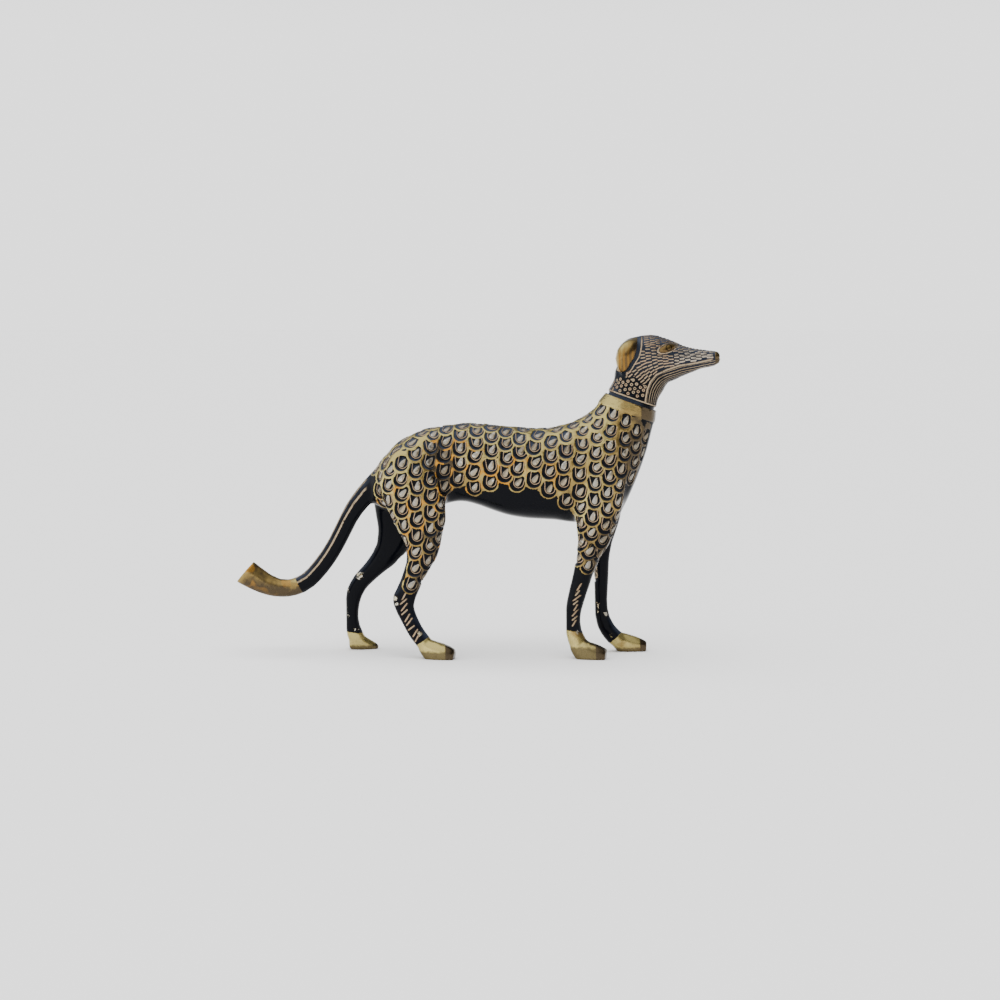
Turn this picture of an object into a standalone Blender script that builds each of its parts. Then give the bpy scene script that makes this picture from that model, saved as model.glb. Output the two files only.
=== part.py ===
"""A brass hunting dog, cast in one piece, that stands on its four paws.

The dog faces +X, with +Z up and its right side towards -Y. The origin is on the ground, below the
middle of its bounding box. The forms are lofts through a few sections each. They overlap, are made
one closed skin, and are softened where one runs into the next, as in a cast figure.
"""

import heapq
import math
from collections import namedtuple

import bmesh
import bpy
from mathutils import Matrix, Vector
from mathutils.bvhtree import BVHTree
from mathutils.kdtree import KDTree

MM = 0.001

# Overall size: the forms below are drawn in millimetres for a dog of the drawn length, and SIZE
# is what one of them is in metres, so that they follow the length of the statue.
STATUE_LENGTH = 280 * MM
DRAWN_LENGTH = 278.5
SIZE = STATUE_LENGTH / DRAWN_LENGTH

# Skin of the casting
SKIN_VOXEL = 1.1
SOFTEN_PASSES = 16
CRISP_SHARE = 0.3
CRISP_HEIGHT = 12
SOFT_HEIGHT = 20
CRISP_TAIL_X = -118
CASTING_TRIANGLES = 9400
RINGS_BETWEEN = 5
RING_POINTS = 32

# Stance, measured from the middle plane to the middle of a limb
HIP_SPREAD = 11
SHOULDER_SPREAD = 10.5
HIND_PAW_SPREAD = 18
FRONT_PAW_SPREAD = 14.8
PAW_SPLAY = math.radians(8)
# How far forward each heel stands
NEAR_HIND_HEEL = -33.5
FAR_HIND_HEEL = -77.5
NEAR_FRONT_HEEL = 52.8
FAR_FRONT_HEEL = 76.4

# How square a section is: 2 is an ellipse, and more is squarer.
BODY_SQUARENESS = 2.15
LIMB_SQUARENESS = 2.3
EAR_SQUARENESS = 2.0

# Each section is a place along a form, in millimetres of the drawn length: x and z of its middle,
# the tilt of the form there in degrees above +X, half its height and half its width, and y.
Section = namedtuple("Section", "x z tilt up side y", defaults=(0.0,))

TORSO = [
    Section(-63.5, 97.0, 0, 5.0, 5.5),
    Section(-58.0, 98.5, 0, 13.0, 11.5),
    Section(-48.0, 102.5, 0, 20.0, 16.0),
    Section(-38.5, 105.5, 0, 22.8, 17.5),
    Section(-29.5, 107.8, 0, 23.8, 17.2),
    Section(-20.0, 110.0, 0, 23.2, 16.6),
    Section(-11.0, 111.6, 0, 22.8, 16.6),
    Section(-2.0, 110.8, 0, 23.7, 17.0),
    Section(7.5, 108.8, 0, 25.1, 17.8),
    Section(16.5, 106.8, 0, 26.0, 18.6),
    Section(26.0, 105.7, 0, 26.5, 19.3),
    Section(35.0, 105.2, 0, 26.6, 19.7),
    Section(44.0, 105.4, 0, 27.3, 19.8),
    Section(53.0, 106.0, 0, 29.2, 19.4),
    Section(62.5, 106.5, 0, 29.5, 18.0),
    Section(72.0, 106.0, 0, 25.0, 15.0),
]
NECK = [
    Section(70.5, 79.0, 82, 9.5, 13.0),
    Section(69.0, 86.0, 77, 13.2, 16.5),
    Section(68.0, 97.0, 70, 18.8, 18.6),
    Section(69.0, 109.0, 66, 22.6, 19.2),
    Section(72.0, 119.5, 65, 23.6, 18.4),
    Section(76.0, 127.5, 67, 22.2, 16.2),
    Section(81.0, 134.3, 70, 18.8, 14.2),
    Section(84.8, 141.0, 70, 16.8, 13.0),
    Section(87.4, 147.3, 72, 15.0, 12.3),
    Section(90.6, 155.5, 76, 13.9, 11.5),
    Section(93.0, 162.5, 84, 15.4, 11.6),
    Section(94.0, 170.0, 88, 13.0, 10.5),
]
HEAD = [
    Section(80.0, 172.0, 0, 5.5, 6.0),
    Section(84.5, 172.0, 0, 10.0, 10.0),
    Section(92.0, 172.0, 0, 12.0, 11.8),
    Section(99.0, 171.5, 0, 13.2, 12.0),
    Section(104.0, 170.8, -2, 12.8, 11.2),
    Section(108.5, 170.2, -3, 11.7, 10.2),
    Section(112.5, 170.0, -3, 10.2, 8.9),
    Section(117.0, 170.2, -3, 8.2, 7.5),
    Section(122.0, 170.5, -2, 6.6, 6.3),
    Section(126.5, 170.8, 0, 5.7, 5.5),
    Section(131.0, 170.8, 1, 5.1, 5.0),
    Section(135.8, 171.2, 3, 4.2, 4.4),
    Section(138.0, 171.4, 3, 3.0, 3.4),
]
TAIL = [
    Section(-50.0, 106.0, 45, 7.0, 6.0),
    Section(-57.5, 100.5, 46, 6.6, 5.8),
    Section(-64.5, 93.8, 48, 6.0, 5.4),
    Section(-70.8, 86.2, 56, 5.5, 5.2),
    Section(-75.2, 79.2, 62, 5.2, 5.0),
    Section(-78.8, 72.0, 64, 5.1, 4.9),
    Section(-82.6, 64.6, 61, 5.1, 4.9),
    Section(-87.0, 57.2, 57, 5.1, 4.9),
    Section(-92.0, 50.4, 51, 5.1, 4.9),
    Section(-98.2, 43.6, 42, 5.1, 4.9),
    Section(-105.4, 39.3, 22, 5.1, 4.9),
    Section(-113.4, 37.9, 1, 5.2, 4.9),
    Section(-121.6, 39.6, -20, 5.9, 5.0),
    Section(-129.0, 43.3, -30, 6.8, 5.2),
    Section(-137.0, 48.4, -34, 7.6, 5.6),
    Section(-144.0, 53.4, -36, 8.2, 5.9),
]
# The tail is a bar with flat sides and a top chamfered to a narrow flat.
TAIL_CORNERS = [(0.36, 1.0), (-0.36, 1.0), (-1.0, 0.3), (-0.95, -0.5), (-0.45, -1.0),
                (0.45, -1.0), (0.95, -0.5), (1.0, 0.3)]
TAIL_END = Vector((-136.8, 0, 46.2))
TAIL_END_SLANT = math.radians(130.5)
# The sides of the boxes that cut the soles and the tail's end flat
GROUND_CUT = 400
TAIL_CUT = 40

# The legs run down, so their sections lie level: up is half the length fore and aft.
NEAR_HIND_LEG = [
    Section(-40.0, 122.0, -90, 6.0, 3.0),
    Section(-39.5, 114.0, -90, 12.5, 6.4),
    Section(-39.0, 106.0, -90, 17.0, 8.6),
    Section(-38.2, 97.0, -90, 19.0, 9.2),
    Section(-36.0, 88.0, -90, 17.8, 8.8),
    Section(-34.0, 80.0, -90, 16.0, 8.1),
    Section(-32.6, 71.5, -90, 12.9, 7.2),
    Section(-31.6, 63.0, -90, 10.1, 6.5),
    Section(-32.6, 56.0, -90, 8.8, 5.9),
    Section(-35.5, 49.3, -90, 7.7, 5.3),
    Section(-38.9, 42.4, -90, 7.1, 4.9),
    Section(-42.0, 35.0, -90, 6.9, 4.5),
    Section(-42.0, 28.7, -90, 5.8, 4.2),
    Section(-37.2, 18.4, -90, 5.4, 4.1),
    Section(-33.0, 11.8, -90, 5.6, 4.4),
    Section(-29.5, 6.5, -90, 4.8, 4.4),
]
FAR_HIND_LEG = [
    Section(-42.0, 122.0, -90, 6.0, 3.0),
    Section(-42.5, 114.0, -90, 12.5, 6.4),
    Section(-43.5, 106.0, -90, 16.6, 8.6),
    Section(-44.8, 97.0, -90, 17.6, 9.2),
    Section(-45.8, 88.0, -90, 16.6, 8.8),
    Section(-46.6, 79.0, -92, 14.6, 8.1),
    Section(-48.5, 68.5, -98, 11.8, 7.2),
    Section(-54.0, 57.5, -118, 8.4, 6.4),
    Section(-62.0, 48.6, -132, 6.0, 5.4),
    Section(-69.8, 40.6, -130, 5.3, 4.8),
    Section(-74.0, 33.0, -108, 5.0, 4.4),
    Section(-75.2, 25.0, -92, 4.0, 4.1),
    Section(-75.3, 17.0, -88, 3.9, 4.0),
    Section(-74.2, 10.0, -80, 4.7, 4.3),
    Section(-72.0, 4.5, -75, 4.8, 4.6),
]
NEAR_FRONT_LEG = [
    Section(73.0, 130.0, -90, 5.0, 2.5),
    Section(71.0, 121.0, -90, 10.5, 5.6),
    Section(69.5, 110.0, -90, 13.8, 7.8),
    Section(69.0, 99.0, -90, 14.6, 8.4),
    Section(68.6, 88.0, -90, 13.8, 8.3),
    Section(67.6, 78.0, -90, 12.4, 7.9),
    Section(66.8, 70.2, -90, 10.4, 7.0),
    Section(64.9, 63.3, -90, 8.8, 6.4),
    Section(62.6, 56.5, -90, 7.2, 5.8),
    Section(60.6, 49.7, -90, 6.3, 5.1),
    Section(58.4, 42.8, -90, 5.7, 4.6),
    Section(56.5, 36.0, -90, 5.4, 4.4),
    Section(54.8, 29.0, -90, 4.9, 4.2),
    Section(54.3, 22.3, -90, 4.3, 4.0),
    Section(54.9, 15.4, -90, 4.8, 4.2),
    Section(57.0, 9.5, -90, 5.6, 4.8),
    Section(59.0, 5.0, -90, 5.4, 4.8),
]
FAR_FRONT_LEG = [
    Section(73.0, 130.0, -90, 5.0, 2.5),
    Section(71.0, 121.0, -90, 10.5, 5.6),
    Section(69.5, 110.0, -90, 13.8, 7.8),
    Section(69.5, 99.0, -90, 14.4, 8.4),
    Section(70.6, 88.0, -90, 12.6, 8.0),
    Section(72.6, 78.5, -90, 9.0, 7.0),
    Section(72.4, 71.2, -90, 7.0, 6.0),
    Section(71.3, 64.0, -90, 5.9, 5.4),
    Section(70.4, 53.6, -90, 5.0, 4.9),
    Section(70.5, 43.0, -90, 4.4, 4.4),
    Section(70.5, 29.0, -90, 3.9, 4.0),
    Section(71.1, 21.7, -86, 4.3, 4.0),
    Section(73.4, 14.8, -68, 4.7, 4.2),
    Section(78.0, 8.6, -50, 4.8, 4.7),
    Section(82.5, 4.8, -45, 4.4, 4.8),
]

# A paw runs forward from its heel: distance from the heel, height of the middle, tilt, half height
# and half width.
BROAD_PAW = [
    Section(0.0, 7.4, 0, 2.4, 2.8),
    Section(2.4, 6.0, 0, 4.6, 4.2),
    Section(6.5, 4.4, -10, 6.2, 5.0),
    Section(11.5, 3.2, -14, 6.0, 5.6),
    Section(17.0, 2.2, -10, 5.0, 5.6),
    Section(20.6, 1.9, -8, 3.6, 4.7),
]
POINTED_PAW = [
    Section(0.0, 3.4, 0, 2.6, 3.0),
    Section(2.2, 4.0, 0, 4.6, 4.2),
    Section(6.0, 3.6, -10, 5.0, 4.8),
    Section(10.5, 2.4, -16, 3.8, 4.6),
    Section(15.0, 1.2, -16, 2.4, 3.6),
    Section(17.4, 0.6, -16, 1.4, 2.2),
]
# The paw's section has a flat top, sloping shoulders and upright sides.
PAW_CORNERS = [(0.5, 1.0), (-0.5, 1.0), (-0.92, 0.45), (-1.0, -0.6), (-0.8, -1.0),
               (0.8, -1.0), (1.0, -0.6), (0.92, 0.45)]

# The left ear hangs down from the crown as a drop; the right one is its mirror image.
EAR = [
    Section(87.4, 182.0, -90, 2.2, 2.2, 6.4),
    Section(86.2, 179.8, -90, 4.4, 3.6, 8.2),
    Section(84.7, 176.2, -90, 5.7, 4.0, 9.8),
    Section(83.4, 171.8, -90, 5.4, 4.0, 10.7),
    Section(82.6, 167.2, -90, 4.2, 3.4, 10.9),
    Section(82.2, 163.8, -90, 2.6, 2.4, 10.6),
    Section(82.0, 161.8, -90, 1.0, 1.0, 10.2),
]


# Carving: the collar is a groove over a raised band across the neck, below a point on its axis.
COLLAR_TOP = Vector((88.0, 0, 147.6))
COLLAR_AXIS = Vector((0.331, 0, 0.944))
COLLAR_GROOVE = 2.7
COLLAR_GROOVE_DEPTH = 0.7
COLLAR_BAND = 5.6
COLLAR_BAND_HEIGHT = 0.5
COLLAR_BEVEL = 1.6
# The scales hang in rows from the collar to the hocks, as bowls sunk inside their rims. Their rows
# start on both flanks and never come nearer each other than the crowding's share of a row.
SCALE_WIDTH = 9.3
SCALE_ROW = 8.2
SCALE_DEPTH = 0.75
SCALE_RIM = 1.1
SCALE_CROWDING = 0.82
SCALE_DROOP = Vector((-0.28, 0, -1))
SCALE_STARTS = [Vector((20, -20, 112)), Vector((20, 20, 112))]
# How far up from the middle of its round end a scale shows below the row above, in rows
SCALE_TUCK = 1.6
# Where the scales end: heights on the legs, the tail's root, the belly, and the plain strip down
# the middle of the chest. The slopes are the least sideways part of a surface's normal.
SCALE_LOW_HIND = 38
SCALE_LOW_FRONT = 43
TAIL_ROOT_X = -62
BELLY_LINE = 92.5
LEG_TOP = 88
FRONT_LEG_X = 50
HIND_LEG_X = -18
CHEST_STRIP = 5.5
CHEST_SLOPE = 0.45
BODY_SLOPE = 0.6
LEG_SLOPE = 0.3
# The mouth line, from the nose back to the corner and down to the collar, and the eye
MOUTH_LINE = [(136, 170.2), (124.5, 167.6), (114.5, 166.1), (107, 163.6), (101.7, 161), (98.7, 157.5),
              (97, 153.3), (96, 147.8)]
MOUTH_WIDTH = 1.6
MOUTH_DEPTH = 0.6
EYE_PLACE = Vector((107.6, 0, 177.0))
EYE_LENGTH = 5.4
EYE_HEIGHT = 2.6
EYE_LEAN = math.radians(22)
EYE_RISE = 0.9
EYE_BEVEL = 1.6
HEAD_START = Vector((60, 0, 130))
CHEEK_SLOPE = 0.25


def clear_scene():
    for thing in list(bpy.data.objects):
        bpy.data.objects.remove(thing)


def blended(sections, step, share):
    """The section a share of the way to the next one, on a Catmull-Rom curve through them all."""
    last = len(sections) - 1
    around = [sections[min(max(step + k, 0), last)] for k in (-1, 0, 1, 2)]
    s, s2, s3 = share, share**2, share**3
    weights = (
        (-s + 2 * s2 - s3) / 2,
        (2 - 5 * s2 + 3 * s3) / 2,
        (s + 4 * s2 - 3 * s3) / 2,
        (s3 - s2) / 2,
    )
    return Section(*(sum(w * part for w, part in zip(weights, parts)) for parts in zip(*around)))


def rounded(squareness):
    """Points round a superellipse, as shares of a section's half width and half height."""
    points = []
    for k in range(RING_POINTS):
        turn = 2 * math.pi * k / RING_POINTS
        c, s = math.cos(turn), math.sin(turn)
        points.append((math.copysign(abs(c) ** (2 / squareness), c),
                       math.copysign(abs(s) ** (2 / squareness), s)))
    return points


def new_form(name, shape):
    """A bmesh, drawn in millimetres, as an object of the statue's size."""
    bmesh.ops.recalc_face_normals(shape, faces=shape.faces)
    bmesh.ops.scale(shape, vec=Vector((1, 1, 1)) * SIZE, verts=shape.verts)
    mesh = bpy.data.meshes.new(name)
    shape.to_mesh(mesh)
    shape.free()
    form = bpy.data.objects.new(name, mesh)
    bpy.context.scene.collection.objects.link(form)
    return form


def loft(name, sections, outline, place=Matrix.Identity(4)):
    """A closed skin through the sections, each with the outline's points."""
    shape = bmesh.new()
    stations = [blended(sections, step, sub / RINGS_BETWEEN)
                for step in range(len(sections) - 1) for sub in range(RINGS_BETWEEN)]
    stations.append(sections[-1])
    loops = []
    for at in stations:
        tilt = math.radians(at.tilt)
        upward = Vector((-math.sin(tilt), 0, math.cos(tilt)))
        middle = Vector((at.x, at.y, at.z))
        across = Vector((0, at.side, 0))
        loops.append([shape.verts.new(place @ (middle + side * across + up * at.up * upward))
                      for side, up in outline])
    for before, after in zip(loops, loops[1:]):
        for k in range(len(outline)):
            following = (k + 1) % len(outline)
            shape.faces.new((before[k], before[following], after[following], after[k]))
    shape.faces.new(loops[0])
    shape.faces.new(loops[-1])
    return new_form(name, shape)


def leg(name, sections, top_spread, paw_spread, side):
    """A leg that leans outwards from the body to its paw."""
    top, low = sections[0].z, sections[-1].z
    leaning = [
        at._replace(y=side * (top_spread + (paw_spread - top_spread) * (top - at.z) / (top - low)))
        for at in sections
    ]
    return loft(name, leaning, rounded(LIMB_SQUARENESS))


def paw(name, sections, heel_x, spread, side):
    """A paw from its heel, turned outwards by the splay."""
    place = Matrix.Translation((heel_x, side * spread, 0)) @ Matrix.Rotation(side * PAW_SPLAY, 4, "Z")
    return loft(name, sections, PAW_CORNERS, place)


def body_forms():
    return [
        loft("torso", TORSO, rounded(BODY_SQUARENESS)),
        loft("neck", NECK, rounded(BODY_SQUARENESS)),
        loft("head", HEAD, rounded(BODY_SQUARENESS)),
        loft("tail", TAIL, TAIL_CORNERS),
    ]


def limb_forms():
    return [
        leg("near_hind_leg", NEAR_HIND_LEG, HIP_SPREAD, HIND_PAW_SPREAD, -1),
        leg("far_hind_leg", FAR_HIND_LEG, HIP_SPREAD, HIND_PAW_SPREAD, 1),
        leg("near_front_leg", NEAR_FRONT_LEG, SHOULDER_SPREAD, FRONT_PAW_SPREAD, -1),
        leg("far_front_leg", FAR_FRONT_LEG, SHOULDER_SPREAD, FRONT_PAW_SPREAD, 1),
        paw("near_hind_paw", BROAD_PAW, NEAR_HIND_HEEL, HIND_PAW_SPREAD, -1),
        paw("far_hind_paw", POINTED_PAW, FAR_HIND_HEEL, HIND_PAW_SPREAD, 1),
        paw("near_front_paw", BROAD_PAW, NEAR_FRONT_HEEL, FRONT_PAW_SPREAD, -1),
        paw("far_front_paw", BROAD_PAW, FAR_FRONT_HEEL, FRONT_PAW_SPREAD, 1),
    ]


def ear_forms():
    right = [at._replace(y=-at.y) for at in EAR]
    return [loft("left_ear", EAR, rounded(EAR_SQUARENESS)), loft("right_ear", right, rounded(EAR_SQUARENESS))]


def one_skin(forms, name):
    """One closed skin round all the forms, which it replaces."""
    with bpy.context.temp_override(active_object=forms[0], selected_editable_objects=forms):
        bpy.ops.object.join()
    joined = forms[0]
    skin = joined.modifiers.new("One skin", "REMESH")
    skin.mode = "VOXEL"
    skin.voxel_size = SKIN_VOXEL * SIZE
    graph = bpy.context.evaluated_depsgraph_get()
    mesh = bpy.data.meshes.new_from_object(joined.evaluated_get(graph))
    bpy.data.objects.remove(joined)
    mesh.name = name
    return bpy.data.objects.new(name, mesh)


def soften(casting):
    """Runs the forms into each other, and keeps the cut edges of the paws and the tail's end crisper."""
    group = casting.vertex_groups.new(name="softness")
    for vertex in casting.data.vertices:
        x, _, z = vertex.co / SIZE
        rise = min(max((z - CRISP_HEIGHT) / (SOFT_HEIGHT - CRISP_HEIGHT), 0), 1)
        if x < CRISP_TAIL_X:
            rise = 0
        group.add([vertex.index], CRISP_SHARE + (1 - CRISP_SHARE) * rise, "REPLACE")
    smooth = casting.modifiers.new("Run together", "SMOOTH")
    smooth.factor = 0.5
    smooth.iterations = SOFTEN_PASSES
    smooth.vertex_group = group.name


def settled(casting):
    """The casting with its modifiers made its own shape."""
    graph = bpy.context.evaluated_depsgraph_get()
    mesh = bpy.data.meshes.new_from_object(casting.evaluated_get(graph))
    casting.modifiers.clear()
    casting.vertex_groups.clear()
    casting.data = mesh
    mesh.name = casting.name


def past_collar(place):
    """How far below the collar's groove and band a place is, along the neck."""
    return -(place - COLLAR_TOP).dot(COLLAR_AXIS) - COLLAR_GROOVE - COLLAR_BAND


def has_scales(place, normal):
    """Whether the engraver cut scales here, in drawn millimetres."""
    side = math.copysign(1, place.y)
    if past_collar(place) < 0:
        return False
    if place.x < TAIL_ROOT_X:
        return False
    if normal.x > CHEST_SLOPE and abs(place.y) < CHEST_STRIP:
        return False
    if place.z > LEG_TOP:
        return place.z > BELLY_LINE or side * normal.y > BODY_SLOPE
    if place.z < (SCALE_LOW_FRONT if place.x > FRONT_LEG_X else SCALE_LOW_HIND):
        return False
    under_belly = HIND_LEG_X < place.x < FRONT_LEG_X
    return side * normal.y > LEG_SLOPE and not under_belly


def hanging(normal):
    """The way a scale hangs on a surface with this normal, and the way across it."""
    down = (SCALE_DROOP - normal * SCALE_DROOP.dot(normal)).normalized()
    return down, normal.cross(down)


def grow_scales(surface, starts):
    """Places of scales in staggered rows, grown outwards over the surface from the starts."""
    places = []
    waiting = [(0, order, start, start) for order, start in enumerate(starts)]
    added = len(waiting)
    while waiting:
        _, _, start, wanted = heapq.heappop(waiting)
        place, normal, _, _ = surface.find_nearest(wanted)
        if not has_scales(place, normal):
            continue
        if any((place - other).length < SCALE_CROWDING * SCALE_ROW for other, _ in places):
            continue
        places.append((place, normal))
        down, across = hanging(normal)
        steps = [(1, 0), (-1, 0), (0.5, 1), (-0.5, 1), (0.5, -1), (-0.5, -1)]
        for sideways, rows in steps:
            wanted = place + across * sideways * SCALE_WIDTH + down * rows * SCALE_ROW
            heapq.heappush(waiting, ((wanted - start).length, added, start, wanted))
            added += 1
    return places


def smooth_step(value):
    value = min(max(value, 0), 1)
    return value * value * (3 - 2 * value)


def scale_depth(place, nearby):
    """How deep the bowl of the topmost scale is here: each row lies over the row below it."""
    reach = SCALE_WIDTH / 2
    best, inside = None, 0
    for middle, normal in nearby:
        down, across = hanging(normal)
        away = place - middle
        a, b = away.dot(across), away.dot(down)
        if b > reach or b < -SCALE_TUCK * SCALE_ROW:
            continue
        edge = reach - math.hypot(a, max(b, 0))
        if edge > 0 and (best is None or b + edge > best):
            best, inside = b + edge, edge
    if best is None:
        return 0
    return SCALE_DEPTH * min(inside / (reach - SCALE_RIM), 1)


def plateau(value, start, end, bevel):
    """1 between start and end and 0 outside them, with a slope of the bevel's width at each."""
    return smooth_step((value - start) / bevel + 0.5) * smooth_step((end - value) / bevel + 0.5)


def collar_height(place):
    below = -(place - COLLAR_TOP).dot(COLLAR_AXIS)
    band = plateau(below, COLLAR_GROOVE, COLLAR_GROOVE + COLLAR_BAND, COLLAR_BEVEL)
    groove = plateau(below, 0, COLLAR_GROOVE, COLLAR_BEVEL)
    return COLLAR_BAND_HEIGHT * band - COLLAR_GROOVE_DEPTH * groove


def mouth_depth(place):
    line = [Vector((x, z)) for x, z in MOUTH_LINE]
    here = Vector((place.x, place.z))
    nearest = MOUTH_WIDTH
    for start, end in zip(line, line[1:]):
        along = min(max((here - start).dot(end - start) / (end - start).length_squared, 0), 1)
        nearest = min(nearest, (here - start.lerp(end, along)).length)
    return MOUTH_DEPTH * smooth_step(1 - nearest / MOUTH_WIDTH)


def eye_height(place):
    away = place - EYE_PLACE
    along = away.x * math.cos(EYE_LEAN) + away.z * math.sin(EYE_LEAN)
    across = away.z * math.cos(EYE_LEAN) - away.x * math.sin(EYE_LEAN)
    outwards = math.hypot(along / EYE_LENGTH, across / EYE_HEIGHT)
    return EYE_RISE * smooth_step((1 - outwards) * EYE_BEVEL)


def carve(casting):
    """Moves the skin in and out for the collar, the mouth, the eyes and the scales."""
    shape = bmesh.new()
    shape.from_mesh(casting.data)
    bmesh.ops.scale(shape, vec=Vector((1, 1, 1)) / SIZE, verts=shape.verts)
    shape.normal_update()
    surface = BVHTree.FromBMesh(shape)
    scales = grow_scales(surface, SCALE_STARTS)
    finder = KDTree(len(scales))
    for index, (place, _) in enumerate(scales):
        finder.insert(place, index)
    finder.balance()
    moved = []
    for vertex in shape.verts:
        place, normal = vertex.co, vertex.normal
        height = 0
        if place.x > HEAD_START.x and place.z > HEAD_START.z:
            height = collar_height(place)
            if abs(normal.y) > CHEEK_SLOPE:
                height += eye_height(place) - mouth_depth(place)
        nearby = [scales[index] for _, index, _ in finder.find_range(place, SCALE_TUCK * SCALE_ROW)]
        facing = [scale for scale in nearby if scale[1].dot(normal) > 0]
        height -= scale_depth(place, facing) * smooth_step(past_collar(place) / COLLAR_BEVEL)
        moved.append(place + normal * height)
    for vertex, place in zip(shape.verts, moved):
        vertex.co = place * SIZE
    shape.to_mesh(casting.data)
    shape.free()


def thin_out(casting):
    fewer = casting.modifiers.new("Fewer faces", "DECIMATE")
    count = sum(len(face.vertices) - 2 for face in casting.data.polygons)
    fewer.ratio = CASTING_TRIANGLES / count


def cut_flat(casting, cutters, name, corner, turn, size):
    """Cuts the casting with the face of a box at its corner, which faces +Z before its turn."""
    shape = bmesh.new()
    bmesh.ops.create_cube(shape, size=size)
    bmesh.ops.translate(shape, vec=(0, 0, -size / 2), verts=shape.verts)
    bmesh.ops.transform(shape, matrix=Matrix.Translation(corner) @ turn, verts=shape.verts)
    cutter = new_form(name, shape)
    bpy.context.scene.collection.objects.unlink(cutter)
    cutters.objects.link(cutter)
    cutter.hide_render = True
    cutter.display_type = "WIRE"
    cut = casting.modifiers.new(name, "BOOLEAN")
    cut.operation = "DIFFERENCE"
    cut.object = cutter


def stand_on_middle(casting, cutters):
    """Moves the casting, and what cuts it, until its bounding box is centred over the origin."""
    graph = bpy.context.evaluated_depsgraph_get()
    mesh = casting.evaluated_get(graph).to_mesh()
    middle = [sum((min(values), max(values))) / 2 for values in zip(*(v.co for v in mesh.vertices))]
    for thing in (casting, *cutters.objects):
        thing.location = (-middle[0], -middle[1], 0)


def brass():
    material = bpy.data.materials.new("engraved brass")
    material.use_nodes = True
    shader = material.node_tree.nodes["Principled BSDF"]
    shader.inputs["Base Color"].default_value = (0.55, 0.42, 0.19, 1)
    shader.inputs["Metallic"].default_value = 1
    shader.inputs["Roughness"].default_value = 0.34
    return material


def main():
    clear_scene()
    statue = bpy.data.collections.new("brass dog statue")
    cutters = bpy.data.collections.new("cutters")
    for collection in (statue, cutters):
        bpy.context.scene.collection.children.link(collection)
    casting = one_skin(body_forms() + limb_forms() + ear_forms(), "brass_dog")
    statue.objects.link(casting)
    soften(casting)
    settled(casting)
    carve(casting)
    thin_out(casting)
    cut_flat(casting, cutters, "ground", Vector((0, 0, 0)), Matrix.Identity(4), GROUND_CUT)
    cut_flat(casting, cutters, "tail_end", TAIL_END, Matrix.Rotation(TAIL_END_SLANT, 4, "Y"), TAIL_CUT)
    casting.data.materials.append(brass())
    casting.data.shade_smooth()
    stand_on_middle(casting, cutters)


if __name__ == "__main__":
    main()
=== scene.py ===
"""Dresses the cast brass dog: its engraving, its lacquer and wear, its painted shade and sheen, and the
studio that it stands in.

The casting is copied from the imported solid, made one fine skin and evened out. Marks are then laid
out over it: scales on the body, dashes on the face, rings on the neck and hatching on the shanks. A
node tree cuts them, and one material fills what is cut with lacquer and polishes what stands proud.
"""

import heapq
import math
from collections import namedtuple
from functools import partial

import bpy
import numpy as np
from bpy.props import FloatProperty, FloatVectorProperty, IntProperty, PointerProperty
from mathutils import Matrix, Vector
from mathutils.bvhtree import BVHTree


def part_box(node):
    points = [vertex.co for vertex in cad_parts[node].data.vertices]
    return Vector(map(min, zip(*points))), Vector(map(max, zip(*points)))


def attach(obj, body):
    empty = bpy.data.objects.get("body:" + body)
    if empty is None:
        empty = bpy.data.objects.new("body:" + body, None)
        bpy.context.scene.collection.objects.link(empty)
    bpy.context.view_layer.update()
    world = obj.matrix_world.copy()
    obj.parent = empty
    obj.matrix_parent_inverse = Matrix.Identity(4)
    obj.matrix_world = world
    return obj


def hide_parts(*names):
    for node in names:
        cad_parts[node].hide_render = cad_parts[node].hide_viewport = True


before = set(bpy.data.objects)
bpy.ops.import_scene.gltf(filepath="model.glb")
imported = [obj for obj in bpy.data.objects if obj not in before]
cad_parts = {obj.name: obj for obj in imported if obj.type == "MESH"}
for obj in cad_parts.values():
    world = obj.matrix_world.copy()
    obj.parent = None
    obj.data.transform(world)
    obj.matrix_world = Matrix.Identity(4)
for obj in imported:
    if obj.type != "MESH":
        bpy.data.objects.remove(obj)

bl_info = {
    "name": "Engraved brass dog",
    "version": (1, 0, 0),
    "blender": (4, 5, 0),
    "location": "3D View > Sidebar > Brass dog",
    "description": "Engraves a cast dog, fills the marks with lacquer and sets it in a plain studio",
    "category": "Object",
}

NODE = "brass_dog"
MM = 0.001
CAD_LOW, CAD_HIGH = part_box(NODE)

# Places are given in the millimetres that the casting was drawn in, with y measured from the
# dog's middle plane. SIZE is what one of them is in metres.
DRAWN_LENGTH = 278.5
DRAWN_LOW = Vector((-140.59, -25.77, 0))
SIZE = (CAD_HIGH.x - CAD_LOW.x) / DRAWN_LENGTH
SHIFT = CAD_LOW - DRAWN_LOW * SIZE

# Where each kind of finish lies
COLLAR_TOP = Vector((88.0, 0, 147.6))
COLLAR_AXIS = Vector((0.331, 0, 0.944))
COLLAR_GROOVE = 1.9
COLLAR_BAND = 6.4
HEAD_START = Vector((60, 0, 130))
SCALE_LOW_HIND = 38
SCALE_LOW_FRONT = 43
TAIL_ROOT_X = -62
TAIL_WIDTH = 6.5
BELLY_LINE = 96.2
LEG_TOP = 88
FRONT_LEG_X = 50
ELBOW_X = 57
HIND_LEG_X = -18
CHEST_STRIP = 5.3
CHEST_SLOPE = 0.3
CHEST_BACK = 50
FIRST_SCALES = 12.3
BODY_SLOPE = 0.6
LEG_SLOPE = 0.3
MOUTH_LINE = [(146, 172.5), (136, 170.2), (124.5, 167.6), (114.5, 166.1), (107, 163.6), (101.7, 161),
              (98.7, 157.5), (97, 153.3), (96, 147.8), (95.5, 140)]
STRIPE = 1.45
STRIPE_CROWDING = 0.35
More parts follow.
